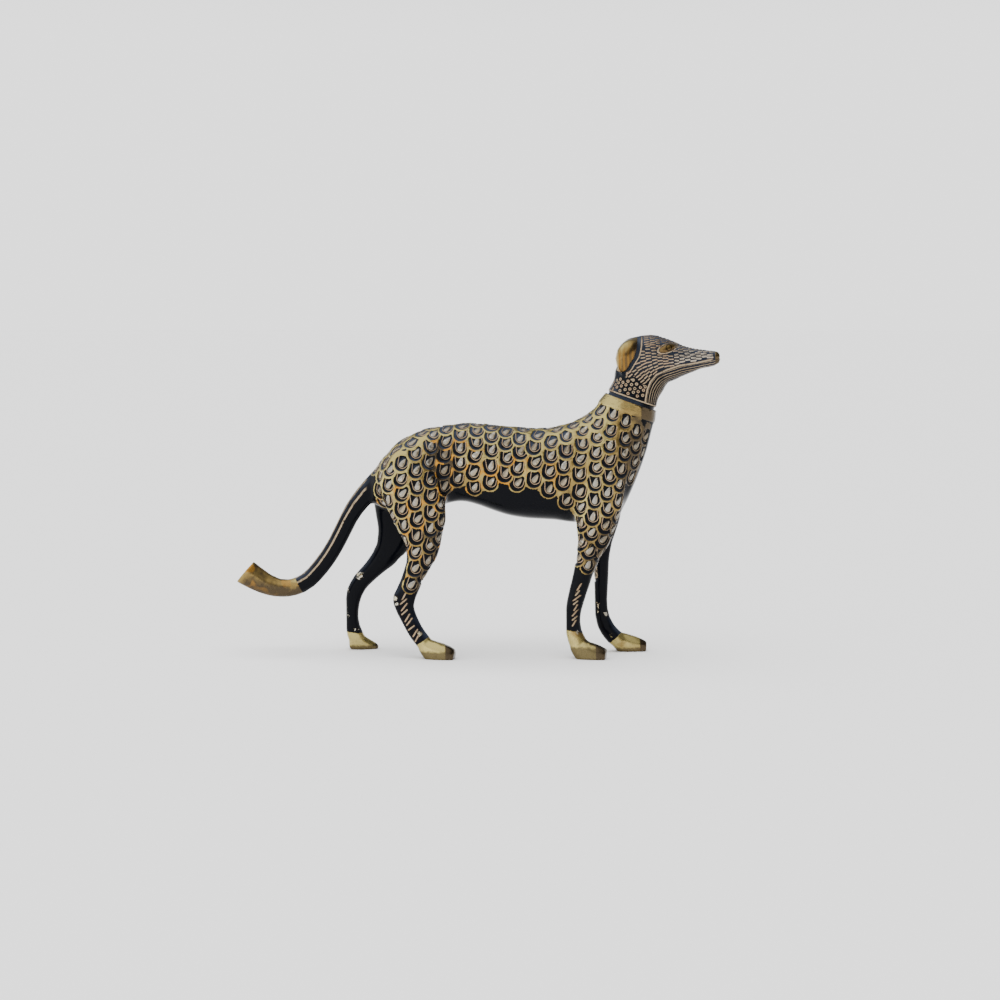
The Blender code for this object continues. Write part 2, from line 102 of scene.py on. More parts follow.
# Each row is x and half the head's width there, under the mouth line
THROAT_WIDTHS = [(94, 10.5), (102, 9.5), (112, 7.0), (124, 5.0), (134, 3.6)]
THROAT_FULLNESS = 1.25
EYE_PLACE = Vector((107.6, 0, 177.0))
EYE_LEAN = math.radians(20)
EYE_LENGTH = 5.3
EYE_HEIGHT = 2.3
# Each row is a height, the ear's middle fore and aft there, and half its width
EAR_OUTLINE = [(163.2, 81.4, 0.2), (164.0, 81.4, 2.2), (165.4, 81.4, 3.3), (167.2, 81.5, 4.1),
               (169.2, 81.9, 5.0), (171.8, 82.6, 5.9), (174.9, 83.2, 6.2), (178.0, 84.0, 5.9),
               (181.1, 85.6, 4.5), (186.0, 87.0, 3.4)]
# Each row is a height and where the haunch's front edge is there
HAUNCH_EDGE = [(90, -20), (93, -21), (106, -28), (114, -29.5), (128, -29), (135, -29)]
FLANK_DENT = 1.1
FLANK_DENT_LENGTH = 22
NOSE_X = 134
MUZZLE_X = 106
MUZZLE_NARROW_X = 120
BAND_FRONT_X = 93
EAR_TOP = 182
SOLE_HEIGHT = 4.5
# The lines down the tail lie between two places, and its end is bare behind a slanting line
TAIL_LINES_X = (-65, -111.5)
TAIL_END = Vector((-102.1, 0, 36))
TAIL_END_SLOPE = 0.55
# The rings are cut below a line through this x and z, and the dashes above it
RINGS_TOP = (84, 160.5)
RINGS_SLOPE = -0.35
# Each row is x and z of the tail's middle and half its height
TAIL_LINE = [(-57.5, 100.5, 6.6), (-64.5, 93.8, 6.0), (-70.8, 86.2, 5.5), (-75.2, 79.2, 5.2),
             (-78.8, 72.0, 5.1), (-82.6, 64.6, 5.1), (-87.0, 57.2, 5.1), (-92.0, 50.4, 5.1),
             (-98.2, 43.6, 5.1), (-105.4, 39.3, 5.1), (-113.4, 37.9, 5.2), (-121.6, 39.6, 5.9),
             (-129.0, 43.3, 6.8), (-137.0, 48.4, 7.6), (-144.0, 53.4, 8.2)]

# How the marks lie, in columns side by side: the width of a column, the distance down it, the lean
# of the columns from the vertical, how near two marks may be as a share of their spacing, where they
# start, and how far a hand strays, in millimetres and in radians
Pattern = namedtuple("Pattern", "name width row lean crowding starts wander turn")
SCALES = Pattern("scale", 8.9, 9.5, math.radians(-3), 0.8,
                 [Vector((84.5, -20, 135.2)), Vector((84.5, 20, 135.2))], 0.75, 0.32)
DASHES = Pattern("dash", 3.3, 1.85, math.radians(4), 0.8,
                 [Vector((100, -12, 172)), Vector((100, 12, 172))], 0.16, 0.12)
RINGS = Pattern("ring", 2.7, 2.7, math.radians(-17), 0.8,
                [Vector((86, -12, 154)), Vector((86, 12, 154))], 0.3, 0.5)
# The dashes on the cheek lean this far, below and behind this place
CHEEK_LEAN = math.radians(42)
CHEEK = Vector((112, 0, 173))
SCALE_TUCK = 0.9
CROWN_SQUASH = 0.88
SEED = 7
# Half of a dash without its round ends, and half its thickness
DASH_REACH = 1.15
DASH_HALF = 0.3
RING_RADIUS = 0.62
RING_HALF = 0.2
# The ridge in a scale's hollow and the bright facet inside it, across and down from its middle
RIDGE_MIDDLE = (0.65, -0.8)
RIDGE_RADIUS = 2.8
RIDGE_WIDTH = 0.32
FACET_MIDDLE = (0.65, -1.3)
FACET_LEAN = math.radians(27)
FACET_LENGTH = 2.8
FACET_WIDTH = 1.4
# Hatching runs down the outer side of each shank, along a line of x and z at the side y
HATCH = Pattern("hatch", 4.4, 2.9, math.radians(48), 0, [], 0.35, 0.25)
HATCH_LENGTH = 1.8
HATCH_THICKNESS = 1.15
HATCH_LINES = [(-17, [(-42.8, 35.5), (-41.2, 26), (-38.1, 19), (-34.4, 12)]),
               (-14, [(57.2, 41), (56.2, 34), (55.6, 27), (55, 20)]),
               (17, [(-73, 37), (-75, 30), (-75, 23), (-74.5, 14)]),
               (14, [(70.5, 41), (70.5, 34), (70.5, 27), (72, 17)])]
# Where bare brass begins on each paw: x and z of a point on its upper edge, the edge's slope, and
# how far forward the dark toe begins. The paws are near hind, far hind, near front and far front.
PAWS = [(-35.4, 7.5, 0.68, -18.4), (-75.0, 10.2, -0.05, -62.0), (50.5, 16.6, -0.19, 67.1),
        (76.7, 6.0, 0.89, 93.2)]
# Worn places, as x, y, z and radius
WORN = [(-47.5, -17, 34.5, 1.5), (-46.0, -17, 31.5, 0.9), (-70.5, 14, 44.3, 2.2), (-76.0, 14, 41.9, 1.1),
        (-78.5, 14, 35.5, 1.2), (-78.8, 14, 27.7, 0.9), (-78.0, 14, 20.5, 0.9), (-73.0, 13, 12.8, 1.2),
        (68.7, 10, 28.5, 1.2), (68.5, 10, 24.4, 0.8), (73.4, 10, 22.1, 1.3), (76.5, 11, 9.6, 1.0),
        (-45.0, 17, 34.5, 1.6), (55.5, 14, 30.0, 1.0), (-33.0, -20, 14.5, 1.1), (56.5, -17, 15.5, 0.9)]
# Places of painted orange glints on the brass: x, z and how far each reaches fore and aft and up
PAINTED_GLINTS = [(-39, 66, 7, 22), (10, 106, 14, 9)]
# How far the dashes and the rings keep from the collar, the mouth line, the ear and the eye
CLEAR_OF_COLLAR = 1.6
CLEAR_OF_MOUTH = 2.2
CLEAR_OF_EAR = 3.6
CLEAR_OF_EYE = (1.6, 1.2)
# How deep the lesser carving goes, and how high the eye stands
COLLAR_DEPTH = 0.5
STRIPE_DEPTH = 0.28
MOUTH_DEPTH = 0.3
EYE_DEPTH = 0.35
EYE_RISE = 0.5
EAR_DEPTH = 0.45
DASH_DEPTH = 0.22
RING_DEPTH = 0.2
HATCH_DEPTH = 0.2
# How wide the bumps are that are evened out: on the body, and below each of some heights
EVEN_BODY = 3.0
EVEN_BELOW = [(80, 2.2), (42, 1.1), (14, 0.45)]
EVEN_TAIL = 0.7
EVEN_TAIL_END = 0.4
EVEN_COLLAR = 0.8
EVEN_HEAD = 1.4
EVEN_EAR = 0.9
# The middle of the camera's view, and how far the floor reaches, in metres
LOOK_AT = Vector((12, 0, 89.5))
FLOOR_REACH = 60.0


class Value:
    """A socket of a node tree. Arithmetic on it adds Math nodes."""

    def __init__(self, tree, socket=None):
        self.tree = tree
        self.socket = socket

    def node(self, kind, inputs=(), output=0, **settings):
        """The output of a new node: its settings come first, then what its sockets get."""
        made = self.tree.nodes.new(kind)
        for name, setting in settings.items():
            setattr(made, name, setting)
        for key, value in (inputs.items() if isinstance(inputs, dict) else enumerate(inputs)):
            if isinstance(value, Value):
                self.tree.links.new(value.socket, made.inputs[key])
            else:
                made.inputs[key].default_value = value
        return Value(self.tree, made.outputs[output])

    def maths(self, operation, *values):
        return self.node("ShaderNodeMath", values, operation=operation)

    def __add__(self, other):
        return self.maths("ADD", self, other)

    def __radd__(self, other):
        return self.maths("ADD", other, self)

    def __sub__(self, other):
        return self.maths("SUBTRACT", self, other)

    def __rsub__(self, other):
        return self.maths("SUBTRACT", other, self)

    def __mul__(self, other):
        return self.maths("MULTIPLY", self, other)

    def __rmul__(self, other):
        return self.maths("MULTIPLY", other, self)

    def __truediv__(self, other):
        return self.maths("DIVIDE", self, other)

    def __abs__(self):
        return self.maths("ABSOLUTE", self)

    def most(self, other):
        return self.maths("MAXIMUM", self, other)

    def step(self, start, end):
        """0 at start and 1 at end, and smooth between them. start may be above end."""
        if start > end:
            return 1 - self.step(end, start)
        return self.node("ShaderNodeMapRange", (self, start, end, 0.0, 1.0),
                         interpolation_type="SMOOTHSTEP")

    def mixed(self, first, second):
        """first where this is 0 and second where it is 1. Each is a colour or such a Value."""
        first, second = (end if isinstance(end, Value) else (*end, 1) for end in (first, second))
        return self.node("ShaderNodeMix", {0: self, 6: first, 7: second}, 2, data_type="RGBA")


def hypot(first, second):
    return first.maths("SQRT", first * first + second * second)


def drawn(places):
    """Places in metres as drawn millimetres."""
    return (places - np.array(SHIFT)) / SIZE


def smooth_step(value):
    value = np.clip(value, 0, 1)
    return value * value * (3 - 2 * value)


def plateau(value, start, end, bevel):
    """1 between start and end and 0 outside them, with a slope of the bevel's width at each."""
    return smooth_step((value - start) / bevel + 0.5) * smooth_step((end - value) / bevel + 0.5)


def collar_distance(places):
    """How far below the top of the collar's groove each place is, along the neck."""
    below = -(places - np.array(COLLAR_TOP)) @ np.array(COLLAR_AXIS)
    on_neck = (places[:, 0] > HEAD_START.x) & (places[:, 2] > HEAD_START.z)
    return np.where(on_neck, below, 50.0)


def beside_line(line, places):
    """In the side view: how far each place is from a line of x and z, how far to its side from the
    nearest stretch of it, and the nearest stretch's last value there."""
    here = places[:, [0, 2]]
    nearest = np.full(len(here), 1e9)
    aside = np.zeros(len(here))
    value = np.zeros(len(here))
    for start, end in zip(line, line[1:]):
        run = np.subtract(end[:2], start[:2])
        share = np.clip((here - start[:2]) @ run / (run @ run), 0, 1)
        away = here - start[:2] - share[:, None] * run
        distance = np.hypot(*away.T)
        side = (run[1] * away[:, 0] - run[0] * away[:, 1]) / np.hypot(*run)
        closer = distance < nearest
        nearest = np.where(closer, distance, nearest)
        aside = np.where(closer, side, aside)
        value = np.where(closer, start[-1] + share * (end[-1] - start[-1]), value)
    return nearest, aside, value


def mouth_distance(places):
    """The distance from the mouth line in the side view, and below 0 on the throat's side."""
    distance, aside, _ = beside_line(MOUTH_LINE, places)
    return np.sign(aside) * distance


def throat_distance(places):
    """The distance from the mouth line round the throat, above 0 on the throat."""
    starts, halves = np.array(THROAT_WIDTHS).T
    half = np.interp(places[:, 0], starts, halves)
    return STRIPE_CROWDING * (half - np.abs(places[:, 1])) - mouth_distance(places)


def ear_distance(places):
    """How far inside the ear's outline each place is, in the side view."""
    heights, middles, halves = np.array(EAR_OUTLINE).T
    x, _, z = places.T
    middle = np.interp(z, heights, middles)
    half = np.interp(z, heights, halves)
    inside = half - np.abs(x - middle)
    return np.minimum(inside, z - heights[0])


def eye_distance(places):
    """How far along and across the eye's almond each place is."""
    away = places - np.array(EYE_PLACE)
    along = away[:, 0] * math.cos(EYE_LEAN) + away[:, 2] * math.sin(EYE_LEAN)
    across = away[:, 2] * math.cos(EYE_LEAN) - away[:, 0] * math.sin(EYE_LEAN)
    return along, across


def tail_height(places):
    """Where each place is between the tail's lower edge at -1 and its upper edge at 1."""
    _, aside, half = beside_line(TAIL_LINE, places)
    return aside / half


def strip_distance(places, normals):
    """How far inside the plain strip down the front of the neck and the chest each place is."""
    front = (places[:, 0] > CHEST_BACK) & (normals[:, 0] > CHEST_SLOPE)
    front &= (collar_distance(places) > COLLAR_GROOVE + COLLAR_BAND) & (places[:, 2] > SCALE_LOW_FRONT)
    return np.where(front, CHEST_STRIP - np.abs(places[:, 1]), -5.0)


def on_head(places):
    return collar_distance(places) < 0


def may_have(pattern, place, normal):
    """Whether the engraver cut marks of this pattern here."""
    at = np.array([place])
    below_collar = collar_distance(at)[0]
    side = math.copysign(1, place.y)
    if pattern is SCALES:
        if below_collar < FIRST_SCALES - 0.8 or place.x < TAIL_ROOT_X:
            return False
        if strip_distance(at, np.array([normal]))[0] > 0:
            return False
        if place.z > BELLY_LINE:
            return True
        if HIND_LEG_X < place.x < (FRONT_LEG_X if place.z > LEG_TOP else ELBOW_X):
            return False
        if place.z > LEG_TOP:
            return side * normal.y > BODY_SLOPE
        low = SCALE_LOW_FRONT if place.x > FRONT_LEG_X else SCALE_LOW_HIND
        return place.z > low and side * normal.y > LEG_SLOPE
    if below_collar > -CLEAR_OF_COLLAR or mouth_distance(at)[0] < CLEAR_OF_MOUTH:
        return False
    if ear_distance(at)[0] > -CLEAR_OF_EAR:
        return False
    along, across = eye_distance(at)
    if math.hypot(along[0] / (EYE_LENGTH + CLEAR_OF_EYE[0]), across[0] / (EYE_HEIGHT + CLEAR_OF_EYE[1])) < 1:
        return False
    ringed = place.z < RINGS_TOP[1] + RINGS_SLOPE * (place.x - RINGS_TOP[0])
    return ringed == (pattern is RINGS) and place.x < NOSE_X


def hanging(pattern, place, normal):
    """The way a mark hangs on the surface at this place, and the way across it."""
    lean = pattern.lean
    if pattern is DASHES:
        cheek = smooth_step((CHEEK.z - place.z) / 12) * smooth_step((CHEEK.x - place.x) / 12)
        lean += (CHEEK_LEAN - lean) * float(cheek)
    droop = Vector((math.sin(lean), 0, -math.cos(lean)))
    down = (droop - normal * droop.dot(normal)).normalized()
    return down, normal.cross(down)


def closeness(pattern, place):
    """How much of its usual size a pattern has here: the scales are smaller on the neck."""
    if pattern is not SCALES:
        return 1
    return 1 - 0.08 * float(smooth_step((place.z - 105) / 25) * smooth_step((place.x - 30) / 40))


def grow(surface, pattern):
    """Places of marks in staggered columns, grown outwards over the surface from the starts."""
    places, downs, acrosses, normals = [], [], [], []
    waiting = [(0, order, start, start) for order, start in enumerate(pattern.starts)]
    added = len(waiting)
    while waiting:
        _, _, start, wanted = heapq.heappop(waiting)
        place, normal, _, _ = surface.find_nearest(wanted)
        if not may_have(pattern, place, normal):
            continue
        if places:
            away = np.array(place) - np.array(places)
            wide = (away * np.array(acrosses)).sum(1) / pattern.width
            long = (away * np.array(downs)).sum(1) / pattern.row
            out = (away * np.array(normals)).sum(1) / pattern.width
            if (wide**2 + long**2 + out**2 < pattern.crowding**2).any():
                continue
        down, across = hanging(pattern, place, normal)
        places.append(tuple(place))
        downs.append(tuple(down))
        acrosses.append(tuple(across))
        normals.append(tuple(normal))
        size = closeness(pattern, place)
        for sideways, rows in [(0, 1), (0, -1), (1, 0.5), (1, -0.5), (-1, 0.5), (-1, -0.5)]:
            wanted = place + size * (across * sideways * pattern.width + down * rows * pattern.row)
            heapq.heappush(waiting, ((wanted - start).length, added, start, wanted))
            added += 1
    return hand_cut(pattern, *map(np.array, (places, downs, acrosses, normals)))


def hatching(surface):
    """Short slanting strokes, one below the other, down the outer side of each shank."""
    places, downs, acrosses, normals = [], [], [], []
    for y, line in HATCH_LINES:
        x, z = np.array(line).T
        for height in np.arange(z[0], z[-1], -HATCH.row):
            wanted = Vector((np.interp(-height, -z, x), y + math.copysign(6, y), height))
            place, normal, _, _ = surface.find_nearest(wanted)
            down, across = hanging(HATCH, place, normal)
            for values, value in zip((places, downs, acrosses, normals), (place, down, across, normal)):
                values.append(tuple(value))
    return hand_cut(HATCH, *map(np.array, (places, downs, acrosses, normals)))


def hand_cut(pattern, places, downs, acrosses, normals):
    """The marks, each a little out of its place and turned a little, as a hand cuts them."""
    draw = np.random.default_rng(SEED)
    count = len(places)
    places = places + pattern.wander * (draw.uniform(-1, 1, (count, 1)) * acrosses
                                        + draw.uniform(-1, 1, (count, 1)) * downs)
    turn = draw.uniform(-pattern.turn, pattern.turn, (count, 1))
    turned_down = downs * np.cos(turn) + acrosses * np.sin(turn)
    turned_across = acrosses * np.cos(turn) - downs * np.sin(turn)
    return {"places": places, "downs": turned_down, "acrosses": turned_across, "normals": normals,
            "tones": draw.uniform(0, 1, count)}


def marks_near(marks, places, normals, reach):
    """For each mark, which places are near and face its way, and their place across and down it."""
    low, high = places - reach, places + reach
    for index, middle in enumerate(marks["places"]):
        near = np.flatnonzero(((low < middle) & (high > middle)).all(1))
        near = near[normals[near] @ marks["normals"][index] > 0.1]
        away = places[near] - middle
        yield index, near, away @ marks["acrosses"][index], away @ marks["downs"][index]


def scale_edge(across, down, tones):
    """How far inside a scale's outline a place is: round below its middle and straight above."""
    reach = SCALES.width / 2 * (0.99 + 0.14 * tones)
    return reach - np.hypot(across, np.maximum(down, 0))


def topmost_scales(marks, places, normals):
    """The scale on top at each place, or -1, and where the place is on it."""
    best = np.full(len(places), -1e9)
    top = np.full(len(places), -1)
    found = np.zeros((3, len(places)))
    reach = SCALE_TUCK * SCALES.row + 1
    for index, near, across, down in marks_near(marks, places, normals, reach):
        edge = scale_edge(across, down, marks["tones"][index])
        score = down + edge
        wins = (edge > 0) & (down > -SCALE_TUCK * SCALES.row) & (score > best[near])
        won = near[wins]
        best[won], top[won] = score[wins], index
        found[:, won] = across[wins], down[wins], edge[wins]
    return top, found


def rim_distance(marks, places, normals, top, found):
    """How far each place is outside the level rims between the scales: below 0 on a rim."""
    rim, gap, crown = rim_widths(places)
    across, down, edge = found
    covered = top >= 0
    distance = np.where(covered, np.maximum(-edge - gap, edge - rim), 6.0)
    depth = np.where(covered, down, -1e9)
    for index, near, across, down in marks_near(marks, places, normals, SCALES.row + 3):
        edge = scale_edge(across, down, marks["tones"][index])
        above = (edge < 0) & (down > np.maximum(depth[near], -3.0)) & (top[near] != index)
        held = near[above]
        distance[held] = np.minimum(distance[held], (-edge - gap[near])[above])
    crown -= np.hypot(found[0], CROWN_SQUASH * np.minimum(found[1], 0))
    distance = np.where(covered, np.minimum(distance, crown), distance)
    outward = np.sign(places[:, 1]) * normals[:, 1]
    inner = np.where(places[:, 2] < LEG_TOP, (LEG_SLOPE / 2 - outward) * 8, -9.0)
    return np.maximum(distance, inner)


def nearest_marks(marks, pattern, places, normals):
    """The nearest mark of a pattern at each place, or -1, and where the place is on it."""
    best = np.full(len(places), 0.72)
    top = np.full(len(places), -1)
    found = np.zeros((2, len(places)))
    for index, near, across, down in marks_near(marks, places, normals, pattern.width):
        score = np.hypot(across / pattern.width, down / pattern.row)
        wins = score < best[near]
        won = near[wins]
        best[won], top[won] = score[wins], index
        found[:, won] = across[wins], down[wins]
    return top, found


def rim_widths(places):
    """The width of the rims, how far they reach beyond a scale, and how far up a hollow reaches."""
    x, _, z = places.T
    neck = smooth_step((z - 105) / 30) * smooth_step((x - 20) / 40)
    haunch = smooth_step((z - 95) / 15) * smooth_step((-20 - x) / 20)
    legs = smooth_step((80 - z) / 15)
    rim = 0.5 + 0.5 * neck + 0.15 * haunch - 0.1 * legs
    gap = 0.22 + 0.4 * neck + 0.15 * haunch - 0.08 * legs
    return rim, gap, 5.3 - 0.7 * neck - 0.3 * haunch - 0.2 * legs


def merged_copy(name, voxel):
    """One closed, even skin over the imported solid, as an object."""
    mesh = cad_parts[NODE].data.copy()
    copy = bpy.data.objects.new(name, mesh)
    bpy.context.scene.collection.objects.link(copy)
    weld = copy.modifiers.new("Weld", "WELD")
    weld.merge_threshold = 0.002 * MM
    skin = copy.modifiers.new("Skin", "REMESH")
    skin.mode = "VOXEL"
    skin.voxel_size = voxel
    settle(copy)
    return copy


def settle(piece):
    """Makes what the modifiers do the piece's own shape."""
    graph = bpy.context.evaluated_depsgraph_get()
    mesh = bpy.data.meshes.new_from_object(piece.evaluated_get(graph))
    old = piece.data
    piece.modifiers.clear()
    piece.data = mesh
    mesh.name = piece.name
    bpy.data.meshes.remove(old)


def read(mesh):
    """A mesh's vertices and normals in drawn millimetres, as arrays."""
    places = np.empty(len(mesh.vertices) * 3, np.float32)
    mesh.vertices.foreach_get("co", places)
    normals = np.empty(len(mesh.vertices) * 3, np.float32)
    mesh.vertex_normals.foreach_get("vector", normals)
    return drawn(places.reshape(-1, 3).astype(float)), normals.reshape(-1, 3).astype(float)


def write(mesh, places):
    metres = places * SIZE + np.array(SHIFT)
    mesh.vertices.foreach_set("co", metres.astype(np.float32).ravel())
    mesh.update()


class Smoother:
    """Evens out values over a mesh, by an amount that is given for each vertex."""

    def __init__(self, mesh):
        edges = np.empty(len(mesh.edges) * 2, np.int32)
        mesh.edges.foreach_get("vertices", edges)
        self.ends = edges.reshape(-1, 2).T
        self.count = len(mesh.vertices)
        self.degree = np.bincount(edges, minlength=self.count)

    def around(self, values):
        """The mean of each vertex's neighbours."""
        first, second = self.ends
        total = np.bincount(first, values[second], self.count)
        total += np.bincount(second, values[first], self.count)
        return total / self.degree

    def smooth(self, values, share, passes):
        for _ in range(passes):
            values = values + share * (self.around(values) - values)
        return values


def evenness(places):
    """How wide the bumps are that are evened out, in millimetres: least at crisp edges."""
    x, _, z = places.T
    spread = np.full(len(places), EVEN_BODY)
    for height, width in EVEN_BELOW:
        spread = np.where(z < height, width, spread)
    spread = np.where((x < TAIL_ROOT_X) & (z > 30), EVEN_TAIL, spread)
    spread = np.where((x < -112) & (z > 20), EVEN_TAIL_END, spread)
    below = collar_distance(places)
    head = below < 11
    spread = np.where(head, np.where(below < -3, EVEN_HEAD, EVEN_COLLAR), spread)
    return np.where(head & (ear_distance(places) > -2.5), EVEN_EAR, spread)


def even_out(piece, voxel):
    """Takes the solid's coarse carving off the skin, and keeps its form."""
    mesh = piece.data
    places, _ = read(mesh)
    smoother = Smoother(mesh)
    step = voxel / SIZE
    passes = int(4 * EVEN_BODY**2 / step**2 / 0.8)
    wanted = smoother.smooth(evenness(places), 0.5, int(8 / step**2))
    share = np.clip(2 * wanted**2 / step**2 / passes, 0, 0.9)
    evened = np.column_stack([smoother.smooth(part, share, passes) for part in places.T])
    write(mesh, evened)
    _, normals = read(mesh)
    lost = ((places - evened) * normals).sum(1)
    kept = smoother.smooth(lost, share, passes)
    write(mesh, evened + normals * kept[:, None])


def put(mesh, name, values, domain="POINT"):
    """Stores values on the mesh as a named attribute."""
    attribute = mesh.attributes.new(name, "FLOAT", domain)
    attribute.data.foreach_set("value", np.ascontiguousarray(values, np.float32))


def lesser_relief(places, normals, marks):
    """Height of all that is carved, apart from the scales."""
    height = collar_relief(places) - flank_dent(places) + throat_relief(places)
    height += eye_relief(places, normals) + ear_relief(places)
    return height + stroke_relief(places, normals, marks)


def collar_relief(places):
    """The groove above the collar's band, and the band's edge, which dies away down the neck."""
    below = collar_distance(places)
    past = below - COLLAR_GROOVE
    edge = smooth_step(past / 0.4 + 0.5) * (1 - smooth_step(past / 1.7))
    return edge - COLLAR_DEPTH * plateau(below, 0, COLLAR_GROOVE, 0.5)


def throat_relief(places):
    """The stripes round the throat, its fullness and the groove along the mouth."""
    x = places[:, 0]
    mouth = mouth_distance(places)
    stripes = 0.5 + 0.5 * np.cos(2 * math.pi * throat_distance(places) / STRIPE)
    full = smooth_step(-mouth / 3) * smooth_step((x - 97) / 6) * smooth_step((131 - x) / 12)
    full *= smooth_step((-collar_distance(places) - 3) / 9)
    height = THROAT_FULLNESS * full - STRIPE_DEPTH * (1 - stripes) * (mouth < 0)
    return on_head(places) * (height - MOUTH_DEPTH * plateau(mouth, 0.3, 1.1, 0.5))


def eye_relief(places, normals):
    """The raised almond of each eye and the groove round it."""
    along, across = eye_distance(places)
    almond = 1 - np.hypot(along / EYE_LENGTH, across / EYE_HEIGHT)
    height = EYE_RISE * smooth_step(almond * 2.2) - EYE_DEPTH * plateau(almond, -0.35, 0, 0.25)
    return height * (on_head(places) & (np.abs(normals[:, 1]) > 0.2))


def ear_relief(places):
    """The groove round each ear."""
    beside = on_head(places) & (np.abs(places[:, 1]) > 4)
    return -EAR_DEPTH * beside * plateau(ear_distance(places), -2.2, -0.2, 0.8)


def stroke_relief(places, normals, marks):
    """Dashes and rings, which stand up from ground that is cut away, and the cuts of the hatching."""
    height = np.zeros(len(places))
    for pattern, shape, stroke_depth, ground_depth in ((DASHES, dash_shape, 0, DASH_DEPTH),
                                                       (RINGS, ring_shape, 0, RING_DEPTH),
                                                       (HATCH, hatch_shape, HATCH_DEPTH, 0)):
        top, (across, down) = nearest_marks(marks[pattern.name], pattern, places, normals)
        on_stroke = smooth_step(0.5 - shape(across, down) / 0.3)
        depth = ground_depth + (stroke_depth - ground_depth) * on_stroke
        height -= np.where(top >= 0, depth, 0)
    return height


def flank_dent(places):
    """The dent in front of each haunch, which ends sharply at the haunch's edge."""
    x, y, z = places.T
    heights, edges = np.array(HAUNCH_EDGE).T
    beyond = x - np.interp(z, heights, edges)
    dent = smooth_step(beyond / 3) * smooth_step((FLANK_DENT_LENGTH - beyond) / 14)
    return FLANK_DENT * dent * smooth_step((z - 98) / 7) * smooth_step((129 - z) / 9) * (np.abs(y) > 6)


def dash_shape(across, down):
    """The distance outside a dash."""
    return np.hypot(np.maximum(np.abs(across) - DASH_REACH, 0), down) - DASH_HALF


def ring_shape(across, down):
    """The distance outside a ring's own line."""
    return np.abs(np.hypot(across, down) - RING_RADIUS) - RING_HALF


def hatch_shape(across, down):
    """The distance outside a stroke of the hatching."""
    return dash_shape(across / HATCH_LENGTH, down / HATCH_THICKNESS)


def engraving_tree(settings, material):
    """Cuts the scales: rims stay level, and a ridge and a bright facet stand in each hollow."""
    tree = bpy.data.node_groups.new("Engraving", "GeometryNodeTree")
    tree.interface.new_socket("Geometry", in_out="INPUT", socket_type="NodeSocketGeometry")
    for name, default in (("Hollow depth", settings.hollow_depth), ("Wall width", settings.wall_width),
                          ("Ridge height", settings.ridge_height), ("Facet height", settings.facet_height)):
        socket = tree.interface.new_socket(name, in_out="INPUT", socket_type="NodeSocketFloat")
        socket.default_value = default
    tree.interface.new_socket("Finish", in_out="INPUT", socket_type="NodeSocketMaterial")
    tree.interface.new_socket("Geometry", in_out="OUTPUT", socket_type="NodeSocketGeometry")
    given = tree.nodes.new("NodeGroupInput")
    sockets = {socket.name: Value(tree, socket) for socket in given.outputs}
    start = Value(tree)
    rim, across, down, relief = (
        start.node("GeometryNodeInputNamedAttribute", {"Name": name}, data_type="FLOAT")
        for name in ("rim", "across", "down", "relief"))
    hollow = (rim / sockets["Wall width"]).step(0.0, 1.0)
    ridge, facet, _ = scale_marks(across, down)
    height = hollow * (ridge * sockets["Ridge height"] + facet * sockets["Facet height"]
                       - sockets["Hollow depth"]) + relief
    normal = start.node("GeometryNodeInputNormal")
    offset = start.node("ShaderNodeVectorMath", {0: normal, 3: height}, operation="SCALE")
    cut = start.node("GeometryNodeSetPosition", {"Geometry": sockets["Geometry"], "Offset": offset})
    real = start.node("GeometryNodeRealizeInstances", {"Geometry": cut})
    done = start.node("GeometryNodeSetMaterial", {"Geometry": real, "Material": sockets["Finish"]})
    out = tree.nodes.new("NodeGroupOutput")
    tree.links.new(done.socket, out.inputs["Geometry"])
    return tree


def scale_marks(across, down):
    """The ridge and the bright facet in a scale's hollow, and where a place is on the facet."""
    a = across - RIDGE_MIDDLE[0]
    b = (down - RIDGE_MIDDLE[1]).most(0.0)
    ridge = abs(hypot(a, b) - RIDGE_RADIUS).step(RIDGE_WIDTH, RIDGE_WIDTH * 0.35)
    a = across - FACET_MIDDLE[0]
    b = FACET_MIDDLE[1] - down
    along = (a * math.sin(FACET_LEAN) + b * math.cos(FACET_LEAN)) / FACET_LENGTH
    aside = (a * math.cos(FACET_LEAN) - b * math.sin(FACET_LEAN)) / FACET_WIDTH
    aside = aside * (1 + 0.45 * along)
    facet = (1 - along * along - aside * aside).step(-0.05, 0.25)
    return ridge, facet, aside


def engrave(piece, settings, material):
    """Runs the engraving tree on the piece."""
    tree = engraving_tree(settings, material)
    modifier = piece.modifiers.new("Engraving", "NODES")
    modifier.node_group = tree
    modifier[tree.interface.items_tree["Finish"].identifier] = material
    settle(piece)


def lay_out(piece):
    """The marks of every pattern, grown over the piece."""
    places, _ = read(piece.data)
    piece.data.calc_loop_triangles()
    corners = np.empty(len(piece.data.loop_triangles) * 3, np.int32)
    piece.data.loop_triangles.foreach_get("vertices", corners)
    surface = BVHTree.FromPolygons(places.tolist(), corners.reshape(-1, 3).tolist())
    marks = {pattern.name: grow(surface, pattern) for pattern in (SCALES, DASHES, RINGS)}
    marks["hatch"] = hatching(surface)
    return marks


def describe_vertices(piece, marks):
    """Gives the vertices what the engraving tree reads."""
    mesh = piece.data
    places, normals = read(mesh)
    top, found = topmost_scales(marks["scale"], places, normals)
    distance = rim_distance(marks["scale"], places, normals, top, found)
    plain = (top < 0) | (strip_distance(places, normals) > 0)
    distance = np.where(plain, 0.0, distance)
    put(mesh, "rim", distance * SIZE)
    put(mesh, "across", found[0])
    put(mesh, "down", found[1])
    put(mesh, "relief", lesser_relief(places, normals, marks) * MM)
    # Painted shade, which the material reads
    put(mesh, "painted_shade", painted_shade(mesh, places, normals))


